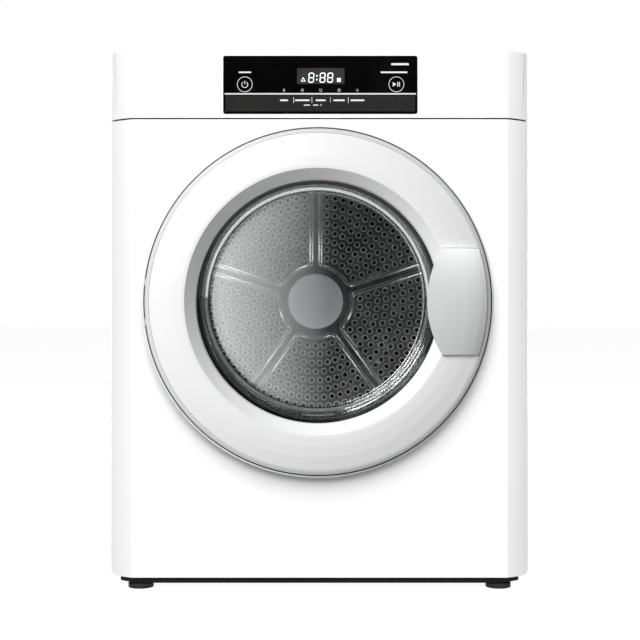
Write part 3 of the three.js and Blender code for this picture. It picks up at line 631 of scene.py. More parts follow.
def control_fascia():
    low, high = FASCIA_BOTTOM, TOP
    shell = prism("fascia", front_plan(0, FASCIA_REAR), low, high, "up", 8)
    corners_off(shell, low - 1, high, True)
    round_edges(shell, lambda e: all(near(v.co.z, high) for v in e.verts) and
                not all(near(v.co.y, -FASCIA_REAR) for v in e.verts), 1.6, 4)
    hollow = prism("hollow", front_plan(2.5, FASCIA_REAR - 5), low - 1, high - 2.5, "up", 8)
    box_low, box_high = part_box("display_window")
    opening = prism("opening", rounded_box(box_low.x / MM - 0.4, box_high.x / MM + 0.4, box_low.z / MM - 0.4,
                                           box_high.z / MM + 0.4, 2.7), FRONT - 5, FRONT + 3, "out")
    cut(shell, hollow, opening)
    keep(shell, "cabinet", WHITE, ["control_fascia"], 0.35, 2)


def top_cover():
    low, high = SIDE_TOP + 0.4, TOP
    front = FASCIA_REAR - 0.4
    plan = [(-HALF, front), (HALF, front), (HALF, BACK, 12), (-HALF, BACK, 12)]
    lid = prism("lid", plan, low, high, "up", 10)
    corners_off(lid, low - 1, high, True)
    round_edges(lid, lambda e: all(near(v.co.z, high) for v in e.verts) and
                not all(near(v.co.y, -front) for v in e.verts), 1.6, 4)
    inner = [(2.5 - HALF, front + 2.6), (HALF - 2.5, front + 2.6), (HALF - 2.5, BACK + 2.5, 9.5),
             (2.5 - HALF, BACK + 2.5, 9.5)]
    cut(lid, prism("hollow", [(a, b - 5.2 if b > 0 else b, *c) for a, b, *c in inner], low - 1, high - 2.5, "up", 10))
    keep(lid, "cabinet", ENAMEL, ["top_cover"], 0.3, 2)


def side_panel(side):
    name = "left" if side < 0 else "right"
    front, shoulder, rear = 146.7, FASCIA_REAR - 0.4, BACK + 1.4
    outline = [(rear, PANEL_BOTTOM), (front, PANEL_BOTTOM), (front, PANEL_TOP), (shoulder, PANEL_TOP),
               (shoulder, SIDE_TOP), (rear, SIDE_TOP)]
    inner, outer = sorted((side * (HALF - 2.6), side * HALF))
    sheet = prism("side", outline, inner, outer, "x")
    face = side * HALF
    recess = prism("recess", rounded_box(-150, 110, 70, 560, 22), *sorted((face - side * 1.1, face + side * 4)), "x", 8)
    cut(sheet, recess)
    soften(sheet, 0.8, 3, 30)
    applied(sheet)
    # A folded return along the front and bottom edges, behind the outer sheet.
    folds = [
        block("fold", sorted((side * 237.4, side * (HALF - 1))), (front - 1.4, front - 0.4), (PANEL_BOTTOM, PANEL_TOP)),
        block("fold", sorted((side * 237.4, side * (HALF - 1))), (rear, front), (PANEL_BOTTOM + 0.1, PANEL_BOTTOM + 1.1)),
    ]
    panel = merged("side_sheet_" + name, sheet, *folds)
    keep(panel, "cabinet", ENAMEL, ["side_panel_" + name])


def rear_panel():
    sheet = prism("rear", rounded_box(-247, 247, PANEL_BOTTOM, SIDE_TOP, 3), BACK, BACK + 1.2, "out")
    low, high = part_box("rear_duct_cover")
    cover_x, cover_up = middle_of("rear_duct_cover")
    collar_x, collar_up = middle_of("exhaust_collar")
    gland_x, gland_up = middle_of("mains_gland")
    tools = [prism("hole", circle(cover_x, cover_up, 185, 96), BACK - 5, BACK + 5, "out"),
             prism("hole", circle(collar_x, collar_up, 54, 64), BACK - 5, BACK + 5, "out"),
             prism("hole", circle(gland_x, gland_up, 6.2, 24), BACK - 5, BACK + 5, "out")]
    for row in range(5):
        for column in range(4):
            x, up = -95 + column * 30, 40 + row * 11
            tools.append(prism("vent", rounded_box(x - 12, x + 12, up - 2, up + 2, 2), BACK - 5, BACK + 5, "out"))
    cut(sheet, *tools)
    soften(sheet, 0.25, 1)
    applied(sheet)
    # Pressed stiffening beads that stand out by 2 mm.
    beads = []
    for x0, x1, up in ((-228, -120, 590), (120, 228, 590), (-228, -110, 568), (110, 228, 568), (130, 228, 118),
                       (-228, -150, 118), (-228, -130, 140), (120, 228, 140)):
        bead = prism("bead", rounded_box(x0, x1, up - 5, up + 5, 5), BACK - 1.9, BACK + 0.3, "out", 8)
        beads.append(round_edges(bead, lambda e: all(near(v.co.y, -(BACK - 1.9)) for v in e.verts), 1.6, 3))
    panel = merged("rear_sheet", sheet, *beads)
    keep(panel, "cabinet", GALVANISED, ["rear_panel"])
    places = [(x, up) for x in (-238, -80, 80, 238) for up in (606,)]
    places += [(x, up) for x in (-238, 238) for up in (24, 170, 320, 470)] + [(-60, 22), (130, 22)]
    heads = screw_heads("rear_screws", places, BACK)
    keep(heads, "cabinet", STEEL, angle=25)


def rear_cover():
    x, up = middle_of("rear_duct_cover")
    seat, back = BACK - 0.4, COVER_BACK
    dish = lathe("cover", [
        (0, back + 1.2), (58, back + 1.2), (64, back + 0.1, 3), (172, back, 8), (184, back + 4.5, 7), (190, seat - 2.2, 4),
        (200, seat - 1.4, 0.6), (200, seat), (188.5, seat, 4), (182.8, back + 5.5, 6), (175, back + 1.6, 8),
        (64, back + 1.5, 3), (58, back + 2.6), (0, back + 2.6),
    ], x, up, 160)
    slots = []
    for i in range(12):
        slot = prism("slot", rounded_box(110, 158, -3, 3, 3), back - 1, back + 3.5, "out", 6)
        slot.data.transform(turned_about(0, 0, (i + 0.5) * TURN / 12))
        slot.location = at(x, 0, up)
        bpy.context.view_layer.update()
        slots.append(slot)
    cut(dish, *slots)
    keep(dish, "cabinet", GALVANISED, ["rear_duct_cover"], 0.3, 1)
    gauze = lathe("dust_screen", [(14, back + 3.2), (182, back + 3.2, 0.1), (182, back + 3.7, 0.1), (14, back + 3.7)], x, up, 96)
    keep(gauze, "cabinet", DARK)
    places = [(x + 194.4 * math.cos(a), up + 194.4 * math.sin(a)) for a in (TURN * (k + 0.5) / 8 for k in range(8))]
    heads = screw_heads("cover_screws", places, seat - 1.3, 3.2)
    keep(heads, "cabinet", STEEL, angle=25)


def turned_about(x, up, angle):
    """A turn about a line towards the viewer, anticlockwise as seen from the front, as a matrix."""
    centre = Matrix.Translation(at(x, 0, up))
    return centre @ Matrix.Rotation(-angle, 4, "Y") @ centre.inverted()


def exhaust_collar():
    x, up = middle_of("exhaust_collar")
    end, seat = -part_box("exhaust_collar")[1].y / MM, BACK - 0.4
    collar = lathe("hose_collar", [
        (46, end, 0.5), (47.6, end, 0.5), (47.6, end + 3, 0.3), (48, end + 3.6, 0.3), (48, end + 7), (47.2, end + 7.5),
        (47.2, end + 11), (48, end + 11.5), (48, seat - 2, 1), (60, seat - 2, 0.8), (60, seat), (48, seat), (48, -162.4), (46, -162.4),
    ], x, up, 96)
    keep(collar, "cabinet", DARK, ["exhaust_collar"])


def mains_gland():
    x, up = middle_of("mains_gland")
    wall = BACK
    gland = lathe("cord_gland", [
        (4, wall + 6, 0.5), (9, wall + 6, 1), (9, wall + 1.4, 0.4), (5.6, wall + 1.4), (5.6, wall - 0.4), (10, wall - 0.4, 0.4),
        (10, wall - 6, 1), (7, wall - 13, 0.8), (4, wall - 13, 0.6),
    ], x, up, 48)
    keep(gland, "cabinet", DARK, ["mains_gland"])


def base_pan():
    low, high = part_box("base_pan")
    half, front, rear = high.x / MM, -low.y / MM, -high.y / MM
    bottom, rim = low.z / MM, high.z / MM

    def plan(inset):
        h, f, r = half - inset, front - inset, rear + inset
        return [(-h, r, 3), (-h, f - 17, 3), (20 - h, f, 3), (h - 20, f, 3), (h, f - 17, 3), (h, r, 3)]

    tray = prism("pan", plan(0), bottom, rim, "up", 4)
    round_edges(tray, lambda e: all(near(v.co.z, bottom) for v in e.verts), 1.4, 3)
    tools = [prism("hollow", plan(1.5), 8, rim + 1, "up", 4)]
    for side in ("left", "right"):
        for place in ("front", "rear"):
            pad_low, pad_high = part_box(f"foot_{place}_{side}")
            x, out = (pad_low.x + pad_high.x) / 2 / MM, -(pad_low.y + pad_high.y) / 2 / MM
            tools.append(prism("hole", circle(x, out, 4.4, 24), 0, rim, "up"))
    cut(tray, *tools)
    # Stiffening ribs across the floor, seen from below only through the bevel of the tray.
    ribs = [prism("rib", rounded_box(-150, 150, out - 2, out + 2, 1.5), 7.8, 10.5, "up", 3) for out in (-120, -60, 0)]
    pan = merged("base_tray", tray, *ribs)
    keep(pan, "cabinet", DARK, ["base_pan"])


def foot(place, side):
    body = f"foot_{place}_" + ("left" if side < 0 else "right")
    low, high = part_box(body)
    x, out = middle_of(body)[0], -(low.y + high.y) / 2 / MM
    profile = [(0, 0), (14.4, 0, 0.6), (15, 0.8, 0.4), (15, 2.0, 0.2), (14.5, 2.3), (14.5, 2.9), (15, 3.2, 0.2), (15, 5, 0.6),
               (13.5, 6.1, 0.5), (9, 6.1), (4, 6.1), (4, 22, 0.7), (0, 22)]
    pad = lathe("pad", profile, 0, 0, 64)
    pad.data.transform(Matrix.Translation(at(x, out, 0)) @ Matrix.Rotation(math.radians(-90), 4, "X"))
    pad.name = body + "_pad"
    keep(pad, body, RUBBER, [body])


# ---------------------------------------------------------------- control panel


def stroke(points, width, closed=False):
    """A band of even width along a 2-D line, as outlines that overlap at the joints."""
    shapes = []
    pairs = zip(points, points[1:] + points[:1]) if closed else zip(points, points[1:])
    for (x0, y0), (x1, y1) in pairs:
        length = math.hypot(x1 - x0, y1 - y0)
        if length < 1e-6:
            continue
        nx, ny = -(y1 - y0) / length * width / 2, (x1 - x0) / length * width / 2
        shapes.append([(x0 + nx, y0 + ny), (x1 + nx, y1 + ny), (x1 - nx, y1 - ny), (x0 - nx, y0 - ny)])
    shapes += [circle(x, y, width / 2, 10) for x, y in points]
    return shapes


def arc_band(x, y, radius, width, start=0.0, end=360.0, count=48):
    """A ring or an arc of a ring as small quads that share their edges."""
    shapes = []
    angles = [math.radians(start + (end - start) * k / count) for k in range(count + 1)]
    low, high = radius - width / 2, radius + width / 2
    for a, b in zip(angles, angles[1:]):
        shapes.append([(x + low * math.cos(a), y + low * math.sin(a)), (x + high * math.cos(a), y + high * math.sin(a)),
                       (x + high * math.cos(b), y + high * math.sin(b)), (x + low * math.cos(b), y + low * math.sin(b))])
    return shapes


def bar(x0, x1, y, height):
    """A horizontal bar with round ends."""
    radius = height / 2
    outline = [(x0, y - radius, radius * 0.98), (x1, y - radius, radius * 0.98), (x1, y + radius, radius * 0.98),
               (x0, y + radius, radius * 0.98)]
    return [fillet(outline, 4)]


def marks(name, shapes, face, body, material, thickness=0.06):
    """Printed shapes lying on a surface at face, each a thin closed solid."""
    points, faces = [], []
    for outline in shapes:
        base, count = len(points), len(outline)
        points += [at(a, face - 0.02, b) for a, b in outline] + [at(a, face + thickness, b) for a, b in outline]
        faces += [list(range(base, base + count)), list(range(base + count, base + 2 * count))]
        faces += [[base + i, base + (i + 1) % count, base + (i + 1) % count + count, base + i + count] for i in range(count)]
    return keep(from_data(name, points, faces), body, material)


def display_window():
    low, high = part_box("display_window")
    x0, x1, up0, up1 = low.x / MM, high.x / MM, low.z / MM, high.z / MM
    back, face = -high.y / MM, -low.y / MM
    window = prism("window", rounded_box(x0, x1, up0, up1, 2.3), back, face, "out", 6)
    tools = []
    for key in ("power_key", "start_key"):
        x, up = middle_of(key)
        tools.append(prism("hole", circle(x, up, 9.75, 64), back - 1, face + 1, "out"))
    for i in range(1, 6):
        x, up = middle_of(f"programme_key_{i}")
        tools.append(prism("slot", rounded_box(x - 10.15, x + 10.15, up - 6.25, up + 6.25, 0.8), back - 1, face + 1, "out", 3))
    trim_low, trim_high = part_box("trim_strip")
    tools.append(block("groove", (x0 + 0.8, x1 - 0.8), (face - 1.2, face + 1), (trim_low.z / MM - 0.05, trim_high.z / MM + 0.05)))
    cut(window, *tools)
    keep(window, "cabinet", BLACK, ["display_window"], 0.15, 2)
    trim = prism("trim", rounded_box(trim_low.x / MM, trim_high.x / MM, trim_low.z / MM, trim_high.z / MM, 0.4),
                 face - 0.8, -trim_low.y / MM, "out", 3)
    trim.name = "trim_line"
    keep(trim, "cabinet", TRIM, ["trim_strip"], 0.2, 2)


SEGMENTS = {"a": ((0, 1), (1, 1)), "b": ((1, 1), (1, 0.5)), "c": ((1, 0.5), (1, 0)), "d": ((0, 0), (1, 0)),
            "e": ((0, 0.5), (0, 0)), "f": ((0, 1), (0, 0.5)), "g": ((0, 0.5), (1, 0.5))}


def digit(x, up, width, height, lit, lean=0.0):
    """One seven-segment digit. x and up are its lower left corner."""
    shapes = []
    trimmed = 0.9
    for name in lit:
        (ax, ay), (bx, by) = SEGMENTS[name]
        a = Vector((x + ax * width + lean * ay * height, up + ay * height))
        b = Vector((x + bx * width + lean * by * height, up + by * height))
        gap = (b - a).normalized() * trimmed
        shapes += stroke([tuple(a + gap), tuple(b - gap)], 1.0)
    return shapes


def pixel(px, py, plane=182.9):
    """x and up on the panel's face for a point of the 640-pixel front view."""
    scale = 1.1725 * (1732 - plane) / 1550
    return (px - 320) * scale + 0.5, 315.8 - (py - 320) * scale


def display_graphics():
    face = -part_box("display_window")[0].y / MM
    x0, up1 = pixel(297, 68)
    x1, up0 = pixel(344.5, 84)
    glass = prism("lcd", rounded_box(x0, x1, up0, up1, 0.8), face - 0.3, face + 0.05, "out", 4)
    glass.name = "display_glass"
    keep(glass, "cabinet", LCD)
    shapes = []
    left, base = pixel(308.6, 82.2)
    height, width = 10.6, 5.6
    for x in (left, left + 13.2, left + 22.2):
        shapes += digit(x, base, width, height, "abcdefg", 0.06)
    for up in (base + 3.1, base + 7.5):
        shapes += [circle(left + 9.7, up, 0.85, 14)]
    x, up = pixel(301.2, 81.2)
    shapes += stroke([(x, up), (x + 4.6, up), (x + 2.3, up + 4.2)], 0.55, closed=True)
    x, up = pixel(337.0, 81.6)
    for i in range(3):
        shapes += bar(x, x + 4.4, up + i * 1.9, 0.6)
        shapes += [[(x + i * 1.9, up - 0.2), (x + i * 1.9 + 0.6, up - 0.2), (x + i * 1.9 + 0.6, up + 4.0), (x + i * 1.9, up + 4.0)]]
    marks("display_digits", shapes, face + 0.05, "cabinet", LIT, 0.08)


def scaled(shape, centres, by=0.74):
    """The outline shrunk about the nearest centre."""
    x, up = min(centres, key=lambda centre: abs(centre[0] - shape[0][0]))
    return [(x + (point[0] - x) * by, up + (point[1] - up) * by) for point in shape]


def panel_print():
    face = -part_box("display_window")[0].y / MM
    shapes = []
    for px0, px1, py, height in ((238.5, 251.2, 72.3, 1.7), (380.5, 407.5, 72.3, 1.9), (391, 409, 64.2, 2.4)):
        a, up = pixel(px0, py)
        b, _ = pixel(px1, py)
        shapes += bar(a, b, up, height)
    # Five small pictures above the trim line: a drop, a sun, a shirt, a clock and a breeze.
    bars = len(shapes)
    centres = [pixel(px, 90.2) for px in (284.1, 302.4, 320.8, 339.1, 357.4)]
    x, up = centres[0]
    shapes += stroke([(x, up + 2.3), (x - 1.5, up), (x, up - 2.3), (x + 1.5, up)], 0.5, closed=True)
    x, up = centres[1]
    shapes += arc_band(x, up, 1.3, 0.5, count=20)
    shapes += [s for k in range(8) for s in stroke([(x + 1.9 * math.cos(k * TURN / 8), up + 1.9 * math.sin(k * TURN / 8)),
                                                    (x + 2.5 * math.cos(k * TURN / 8), up + 2.5 * math.sin(k * TURN / 8))], 0.4)]
    x, up = centres[2]
    shapes += stroke([(x - 2.4, up + 1.3), (x - 1, up + 2.1), (x + 1, up + 2.1), (x + 2.4, up + 1.3), (x + 1.4, up + 0.4),
                      (x + 1.4, up - 2.1), (x - 1.4, up - 2.1), (x - 1.4, up + 0.4)], 0.45, closed=True)
    x, up = centres[3]
    shapes += arc_band(x, up, 2.1, 0.5, count=24) + stroke([(x, up + 1.2), (x, up), (x + 1, up)], 0.4)
    x, up = centres[4]
    for k in range(3):
        shapes += stroke([(x - 2 + 0.5 * j, up - 1.4 + k * 1.4 + 0.35 * math.sin(j * 1.4)) for j in range(9)], 0.42)
    shapes = shapes[:bars] + [scaled(shape, centres) for shape in shapes[bars:]]
    # Dividers between the programme keys.
    for px in (293.6, 311.9, 330.6, 348.3):
        a, up = pixel(px, 100.1)
        shapes += [[(a - 0.3, up - 3.4), (a + 0.3, up - 3.4), (a + 0.3, up + 3.4), (a - 0.3, up + 3.4)]]
    marks("panel_print", shapes, face, "cabinet", GLOWING_INK)


def round_key(name):
    x, up = middle_of(name)
    low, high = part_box(name)
    face, rear = -low.y / MM, -high.y / MM
    cap = lathe(name + "_cap", [
        (0, face - 0.15), (6, face - 0.1), (9.0, face, 0.3), (9.45, face - 0.5, 0.3), (9.45, face - 4), (11.2, face - 4, 0.2),
        (11.2, face - 5.5, 0.3), (3, face - 5.5), (3, rear, 0.3), (0, rear),
    ], x, up, 96)
    keep(cap, name, BLACK, [name])
    shapes = arc_band(x, up, 8.75, 0.6, count=72)
    if name == "power_key":
        shapes += arc_band(x, up - 0.3, 3.5, 0.75, 125, 415, 36) + stroke([(x, up + 0.4), (x, up + 3.9)], 0.75)
    else:
        shapes += [[(x - 4.2, up - 2.7), (x - 0.1, up), (x - 4.2, up + 2.7)]]
        shapes += [[(a, up - 2.7), (a + 1.05, up - 2.7), (a + 1.05, up + 2.7), (a, up + 2.7)] for a in (x + 1.0, x + 3.0)]
    marks(name + "_symbol", shapes, face, name, GLOWING_INK)


def programme_key(index, length):
    name = f"programme_key_{index}"
    x, up = middle_of(name)
    low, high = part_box(name)
    face, rear = -low.y / MM, -high.y / MM
    cap = prism("cap", rounded_box(x - 9.9, x + 9.9, up - 6, up + 6, 0.9), face - 5, face, "out", 4)
    flange = block("flange", (x - 9.8, x + 9.8), (face - 5.3, face - 3.7), (up - 8.4, up + 8.4))
    stem = lathe("stem", [(0, rear), (2.5, rear, 0.3), (2.5, face - 5), (0, face - 5)], x, up, 32)
    key = merged(name + "_cap", soften_now(cap, 0.3), flange, stem)
    keep(key, name, BLACK, [name])
    shapes = bar(x - length / 2, x + length / 2, pixel(0, 100.3)[1], 2.0)
    if index == 2:
        shapes += bar(x + 1.6, x + 9.0, up - 5.0, 1.2)
    if index == 3:
        shapes += bar(x - 9.0, x - 3.0, up - 5.0, 1.2)
        a, b = x - 0.9, up - 5.5
        shapes += stroke([(a, b), (a + 2.0, b), (a + 1.0, b + 1.8)], 0.4, closed=True)
    marks(name + "_print", shapes, face, name, GLOWING_INK)


def soften_now(obj, width, segments=2):
    return applied(soften(obj, width, segments))


# ---------------------------------------------------------------- door


def door(radius_outs):
    """Door profiles are given from the front panel's face: adds its place to each out."""
    return [(p[0], p[1] + FRONT, *p[2:]) for p in radius_outs]


def door_ring():
    notch = (DOOR_X - 206, DOOR_X - 188), (FRONT + 5, FRONT + 15.8), (DOOR_UP - 28, DOOR_UP + 28)
    ring = lathe("porthole_ring", door([
        (195.3, 18.8), (195.3, 22.7, 0.6), (180, 28.2, 40), (167, 31.5, 40), (157, 33, 14),
        (153.6, 33, 0.9), (142.2, 19, 1.2), (141, 14, 0.3), (144, 14), (145.2, 18.4), (154.6, 29.8), (157, 30), (166.4, 28.5),
        (179, 25.1), (193.4, 20),
    ]), segments=256, steps=6)
    keep(cut(ring, block("notch", *notch)), "door", WHITE, ["door_ring"], angle=24)
    # The shoulder band is painted grey all round the door: painted shade for its steep edge.
    band = lathe("porthole_edge", door([
        (201, 7.4, 0.4), (201, 17.2, 1.1), (199.6, 20.2, 1.2), (196.2, 22.4, 0.8), (195.5, 22.1, 0.3), (195.5, 18.6),
        (198, 16.2), (198, 7.4),
    ]), segments=256, steps=5)
    keep(cut(band, block("notch", *notch)), "door", EDGE_SHADE, angle=24)
    # A black strip fills the parting gap between ring and rim: a painted shadow standing in for the gap's shade.
    seam = lathe("porthole_seam", door([(201.08, 7.6), (202.62, 7.6), (202.62, 13.4, 0.3), (201.08, 13.4, 0.3)]), segments=256)
    keep(cut(seam, block("notch", *notch)), "door", RUBBER)


def door_liner():
    liner = lathe("porthole_rim", door([
        (149, 2, 0.8), (200.5, 2, 2), (204.4, 5.5, 3), (204.4, 14.5, 0.6), (202.7, 14.5, 0.5), (202.7, 7, 0.5), (199, 4.5, 1),
        (151.5, 4.5, 0.5), (151.5, 10, 0.5), (149, 10, 0.5),
    ]), segments=224)
    tools = [block("ear", (DOOR_X - 208, DOOR_X - 176), (FRONT, FRONT + 13.8),
                   (DOOR_UP + side * 23.5 - 3.5, DOOR_UP + side * 23.5 + 3.5)) for side in (-1, 1)]
    tools.append(block("strike", (172.7, 179.3), (FRONT, FRONT + 6), (DOOR_UP - 8.5, DOOR_UP + 8.5)))
    cut(liner, *tools)
    # Screw heads on the inner face, seen when the door is open.
    keep(liner, "door", WHITE, ["door_liner"], angle=28)
    places = [(DOOR_X + 176 * math.cos(a), DOOR_UP + 176 * math.sin(a)) for a in (TURN * (k + 0.5) / 10 for k in range(10))]
    keep(screw_heads("door_screws", places, FRONT + 2, 3.2), "door", STEEL, angle=25)


def door_glass():
    bowl = lathe("glass_bowl", door([
        (0, -33), (60, -32.85), (100, -32.6), (118, -32.4), (124.5, -32.3), (128.0, -32.0, 1.6), (129.4, -29.2, 0.8), (130.2, -28.8, 0.6),
        (131.2, -24.6, 1.0), (132.0, -24.1, 0.6), (133.2, -17.6, 1.2), (134.2, -17.0, 0.6), (135.6, -8.6, 1.5), (136.4, -8.0, 0.6),
        (137.6, 6.5, 2), (139.2, 12.4, 1.4), (146.5, 13.4, 0.5),
        (146.5, 10.6, 0.5), (142.2, 10.4, 1.2), (141.2, 5, 3), (139.6, -12, 6), (138.1, -23.5, 5), (134.4, -30.5, 5),
        (128.5, -34.9, 4), (60, -36.6), (0, -37),
    ]), segments=256, steps=6)
    # The pressing leans: its bottom lies a little higher than its mouth.
    for vertex in bowl.data.vertices:
        depth = max(0.0, min(1.0, (vertex.co.y / MM + FRONT) / 33))
        vertex.co += at(-0.8, 0, 3.4) * depth
    keep(bowl, "door", GLASS, ["door_glass"], angle=60)
    bowl.visible_shadow = False
    # A black band lies inside the glass lip, where the ring's edge meets it.
    rim = lathe("glass_rim_print", door([
        (136.9, 1.5), (137.35, 6.4), (138.9, 12.55), (141.3, 13.3), (141.3, 13.1), (139.1, 12.3), (137.6, 6.4), (137.15, 1.5),
    ]), segments=256)
    keep(rim, "door", DARK_RIM)


def handle_outline(rise=0.0):
    half, corner, edge = 61, 142.5, 125.4
    sagitta = corner - edge
    edge_radius = (half ** 2 + sagitta ** 2) / (2 * sagitta)
    rim_angle, edge_angle = math.asin(half / 195.2), math.asin(half / edge_radius)
    outline = [(DOOR_X + 195.2 * math.cos(a), DOOR_UP + rise + 195.2 * math.sin(a))
               for a in (rim_angle * (k / 24 - 1) for k in range(49))]
    return outline + [(DOOR_X + edge + edge_radius - edge_radius * math.cos(a), DOOR_UP + rise + edge_radius * math.sin(a))
                      for a in (edge_angle * (1 - k / 24) for k in range(49))]


def door_handle():
    turn = dict(segments=120, start=math.radians(-32), sweep=math.radians(64))
    dome = lathe("pull_plate", door([
        (116, 33.6), (157, 33.6), (167, 32.2), (180, 28.9), (196, 23.5), (197, 24.2), (188, 29.4, 30), (176, 33.6, 60),
        (160, 36.9, 60), (146, 38, 60), (132, 37.9, 60), (116, 36.9),
    ]), steps=8, **turn)
    cut(dome, prism("outline", handle_outline(), FRONT + 20, FRONT + 42, "out"), operation="INTERSECT")
    soften(dome, 1.3, 4, 40)
    applied(dome)
    keep(dome, "door", PEARL, ["door_handle"], angle=26)
    # A grey strip along the plate's top edge: a painted shadow for the recess line above the plate.
    line = lathe("pull_seam", door([
        (154.5, 33.15), (157, 33.15), (167, 31.65), (180, 28.35), (194.6, 23.1), (194.6, 23.4), (180, 28.65), (167, 31.95),
        (157, 33.45), (154.5, 33.45),
    ]), **turn)
    cut(line, prism("outline", handle_outline(0.9), FRONT + 20, FRONT + 42, "out"), operation="INTERSECT")
    keep(line, "door", GREY)


def door_gasket():
    low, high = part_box("door_gasket")
    front = -low.y / MM
    gasket = lathe("door_seal", [
        (150.4, front - 5), (151.6, front - 5), (151.6, front - 1.2, 0.3), (156.5, front - 1.2, 0.4), (158, front - 0.6, 0.4),
        (156.5, front - 0.1, 0.5), (153.2, front - 0.45, 0.5), (151.6, front, 0.5), (150.4, front - 0.4, 0.4),
    ], segments=192)
    keep(gasket, "cabinet", RUBBER, ["door_gasket"])


# ---------------------------------------------------------------- drum


def lattice():
    """Centres of the perforations, about the drum's axis: arcs about the hub, from spoke to spoke."""
    holes = []
    row_pitch, pitch, edge = 12.2, 11.6, 15.6
    for sector in range(5):
        centre = math.radians(90 + 36 + 72 * sector)
        for row in range(13):
            radius = 62.8 + row * row_pitch
            reach = math.radians(36) - math.asin(edge / radius)
            count = round(2 * reach * radius / pitch) + 1
            for k in range(count):
                angle = centre - reach + 2 * reach * k / (count - 1)
                holes.append((radius * math.cos(angle), radius * math.sin(angle)))
    return holes


def sector_outline(sector, inset, half=3.4, inner=47.6, outer=216.5, corner=11.5, steps=7):
    """The edge of one perforated field, moved inwards by inset: an arc by the hub, two spoke sides and an outer arc."""
    centre = math.radians(90 + 36 + 72 * sector)
    h, low, high = half + inset, inner + inset, outer - inset
    q = max(corner - inset, 0.8)
    spoke = math.radians(36)
    side = []
    reach = math.sqrt((low + q) ** 2 - (h + q) ** 2)
    axis, normal = Vector((math.cos(spoke), math.sin(spoke))), Vector((math.sin(spoke), -math.cos(spoke)))
    pivot = axis * reach + normal * (h + q)
    start = (-pivot).normalized()
    end = -normal
    sweep = start.angle_signed(end)
    first = math.atan2(start.y, start.x)
    side += [pivot + Vector((math.cos(first - sweep * k / steps), math.sin(first - sweep * k / steps))) * q for k in range(steps + 1)]
    reach_out = math.sqrt((high - q) ** 2 - (h + q) ** 2)
    last = side[-1]
    spans = 24
    line_end = axis * reach_out + normal * h
    side += [last + (line_end - last) * (k / spans) for k in range(1, spans)]
    pivot = axis * reach_out + normal * (h + q)
    start, end = -normal, pivot.normalized()
    sweep = start.angle_signed(end)
    first = math.atan2(start.y, start.x)
    side += [pivot + Vector((math.cos(first - sweep * k / steps), math.sin(first - sweep * k / steps))) * q for k in range(steps + 1)]
    top = math.atan2(side[-1].y, side[-1].x)
    bottom = math.atan2(side[0].y, side[0].x)
    mirrored = [Vector((p.x, -p.y)) for p in side]
    outer_arc = [Vector((math.cos(top * (1 - 2 * k / 40)), math.sin(top * (1 - 2 * k / 40)))) * high for k in range(1, 40)]
    inner_arc = [Vector((math.cos(bottom * (2 * k / 14 - 1)), math.sin(bottom * (2 * k / 14 - 1)))) * low for k in range(1, 14)]
    loop = side + outer_arc + mirrored[::-1] + inner_arc
    c, s = math.cos(centre), math.sin(centre)
    return [(p.x * c - p.y * s, p.x * s + p.y * c) for p in loop]


def drum_back():
    """Pressed steel disc: five perforated fields with a rounded bead about each, and raised lips round the holes."""
    bead = [(0.0, 0.0), (0.7, 1.5), (1.8, 2.5), (3.1, 2.7), (4.4, 2.4), (5.3, 1.3), (6.0, 0.0)]
    lip_sides, lip_outer = 12, 4.75
    flat, edges, heights = [], [], []

    def loop(points, height):
        base = len(flat)
        flat.extend(Vector(p) for p in points)
        heights.extend([height] * len(points))
        edges.extend((base + i, base + (i + 1) % len(points)) for i in range(len(points)))

    rim = DRUM_RADIUS - 1.6
    loop(circle(0, 0, rim, 160), 0)
    for sector in range(5):
        for inset, height in bead:
            loop(sector_outline(sector, inset), height)
    loop(circle(0, 0, 36, 64), 0)
    first_hole = len(flat)
    holes = lattice()
    for x, y in holes:
        loop(circle(x, y, lip_outer, lip_sides), 0)
    points, _, faces, origin, _, _ = delaunay_2d_cdt(flat, edges, [], 1, 1e-5)
    where = [source[0] if source else -1 for source in origin]
    plate_faces = []
    for face in faces:
        sources = [where[v] for v in face]
        owners = {(s - first_hole) // lip_sides if s >= first_hole else -1 for s in sources}
        if len(owners) == 1 and owners != {-1}:
            continue
        plate_faces.append(face)
    thick = 1.0
    front = DRUM_FACE
    lift = 1.9
    verts = [at(DRUM_X + p.x, front - lift + (heights[w] if w >= 0 else 0), DRUM_UP + p.y) for p, w in zip(points, where)]
    quads = list(plate_faces)
    lip = [(4.4, 0.5), (3.95, 1.0), (3.5, 1.0), (3.15, 0.5), (2.95, -0.1), (2.95, -thick)]
    start_of = {}
    for index, w in enumerate(where):
        if w >= first_hole:
            start_of[w] = index
    for h, (x, y) in enumerate(holes):
        previous = [start_of[first_hole + h * lip_sides + k] for k in range(lip_sides)]
        for radius, height in lip:
            base = len(verts)
            verts += [at(DRUM_X + a, front - lift + height, DRUM_UP + b) for a, b in circle(x, y, radius, lip_sides)]
            current = list(range(base, base + lip_sides))
            quads += [[previous[k], previous[(k + 1) % lip_sides], current[(k + 1) % lip_sides], current[k]] for k in range(lip_sides)]
            previous = current
    mesh = bpy.data.meshes.new("drum_wall")
    mesh.from_pydata([tuple(v) for v in verts], [], quads)
    work = bmesh.new()
    work.from_mesh(mesh)
    bmesh.ops.recalc_face_normals(work, faces=work.faces)
    work.faces.ensure_lookup_table()
    if sum(f.normal.y * f.calc_area() for f in work.faces) > 0:
        bmesh.ops.reverse_faces(work, faces=work.faces)
    work.to_mesh(mesh)
    work.free()
    wall = new_object("drum_wall", mesh)
    shell = wall.modifiers.new("thickness", "SOLIDIFY")
    shell.thickness = 0.8 * MM
    shell.offset = -1
    applied(wall)
    keep(wall, "drum", WALL_STEEL, ["drum_back"], angle=40)


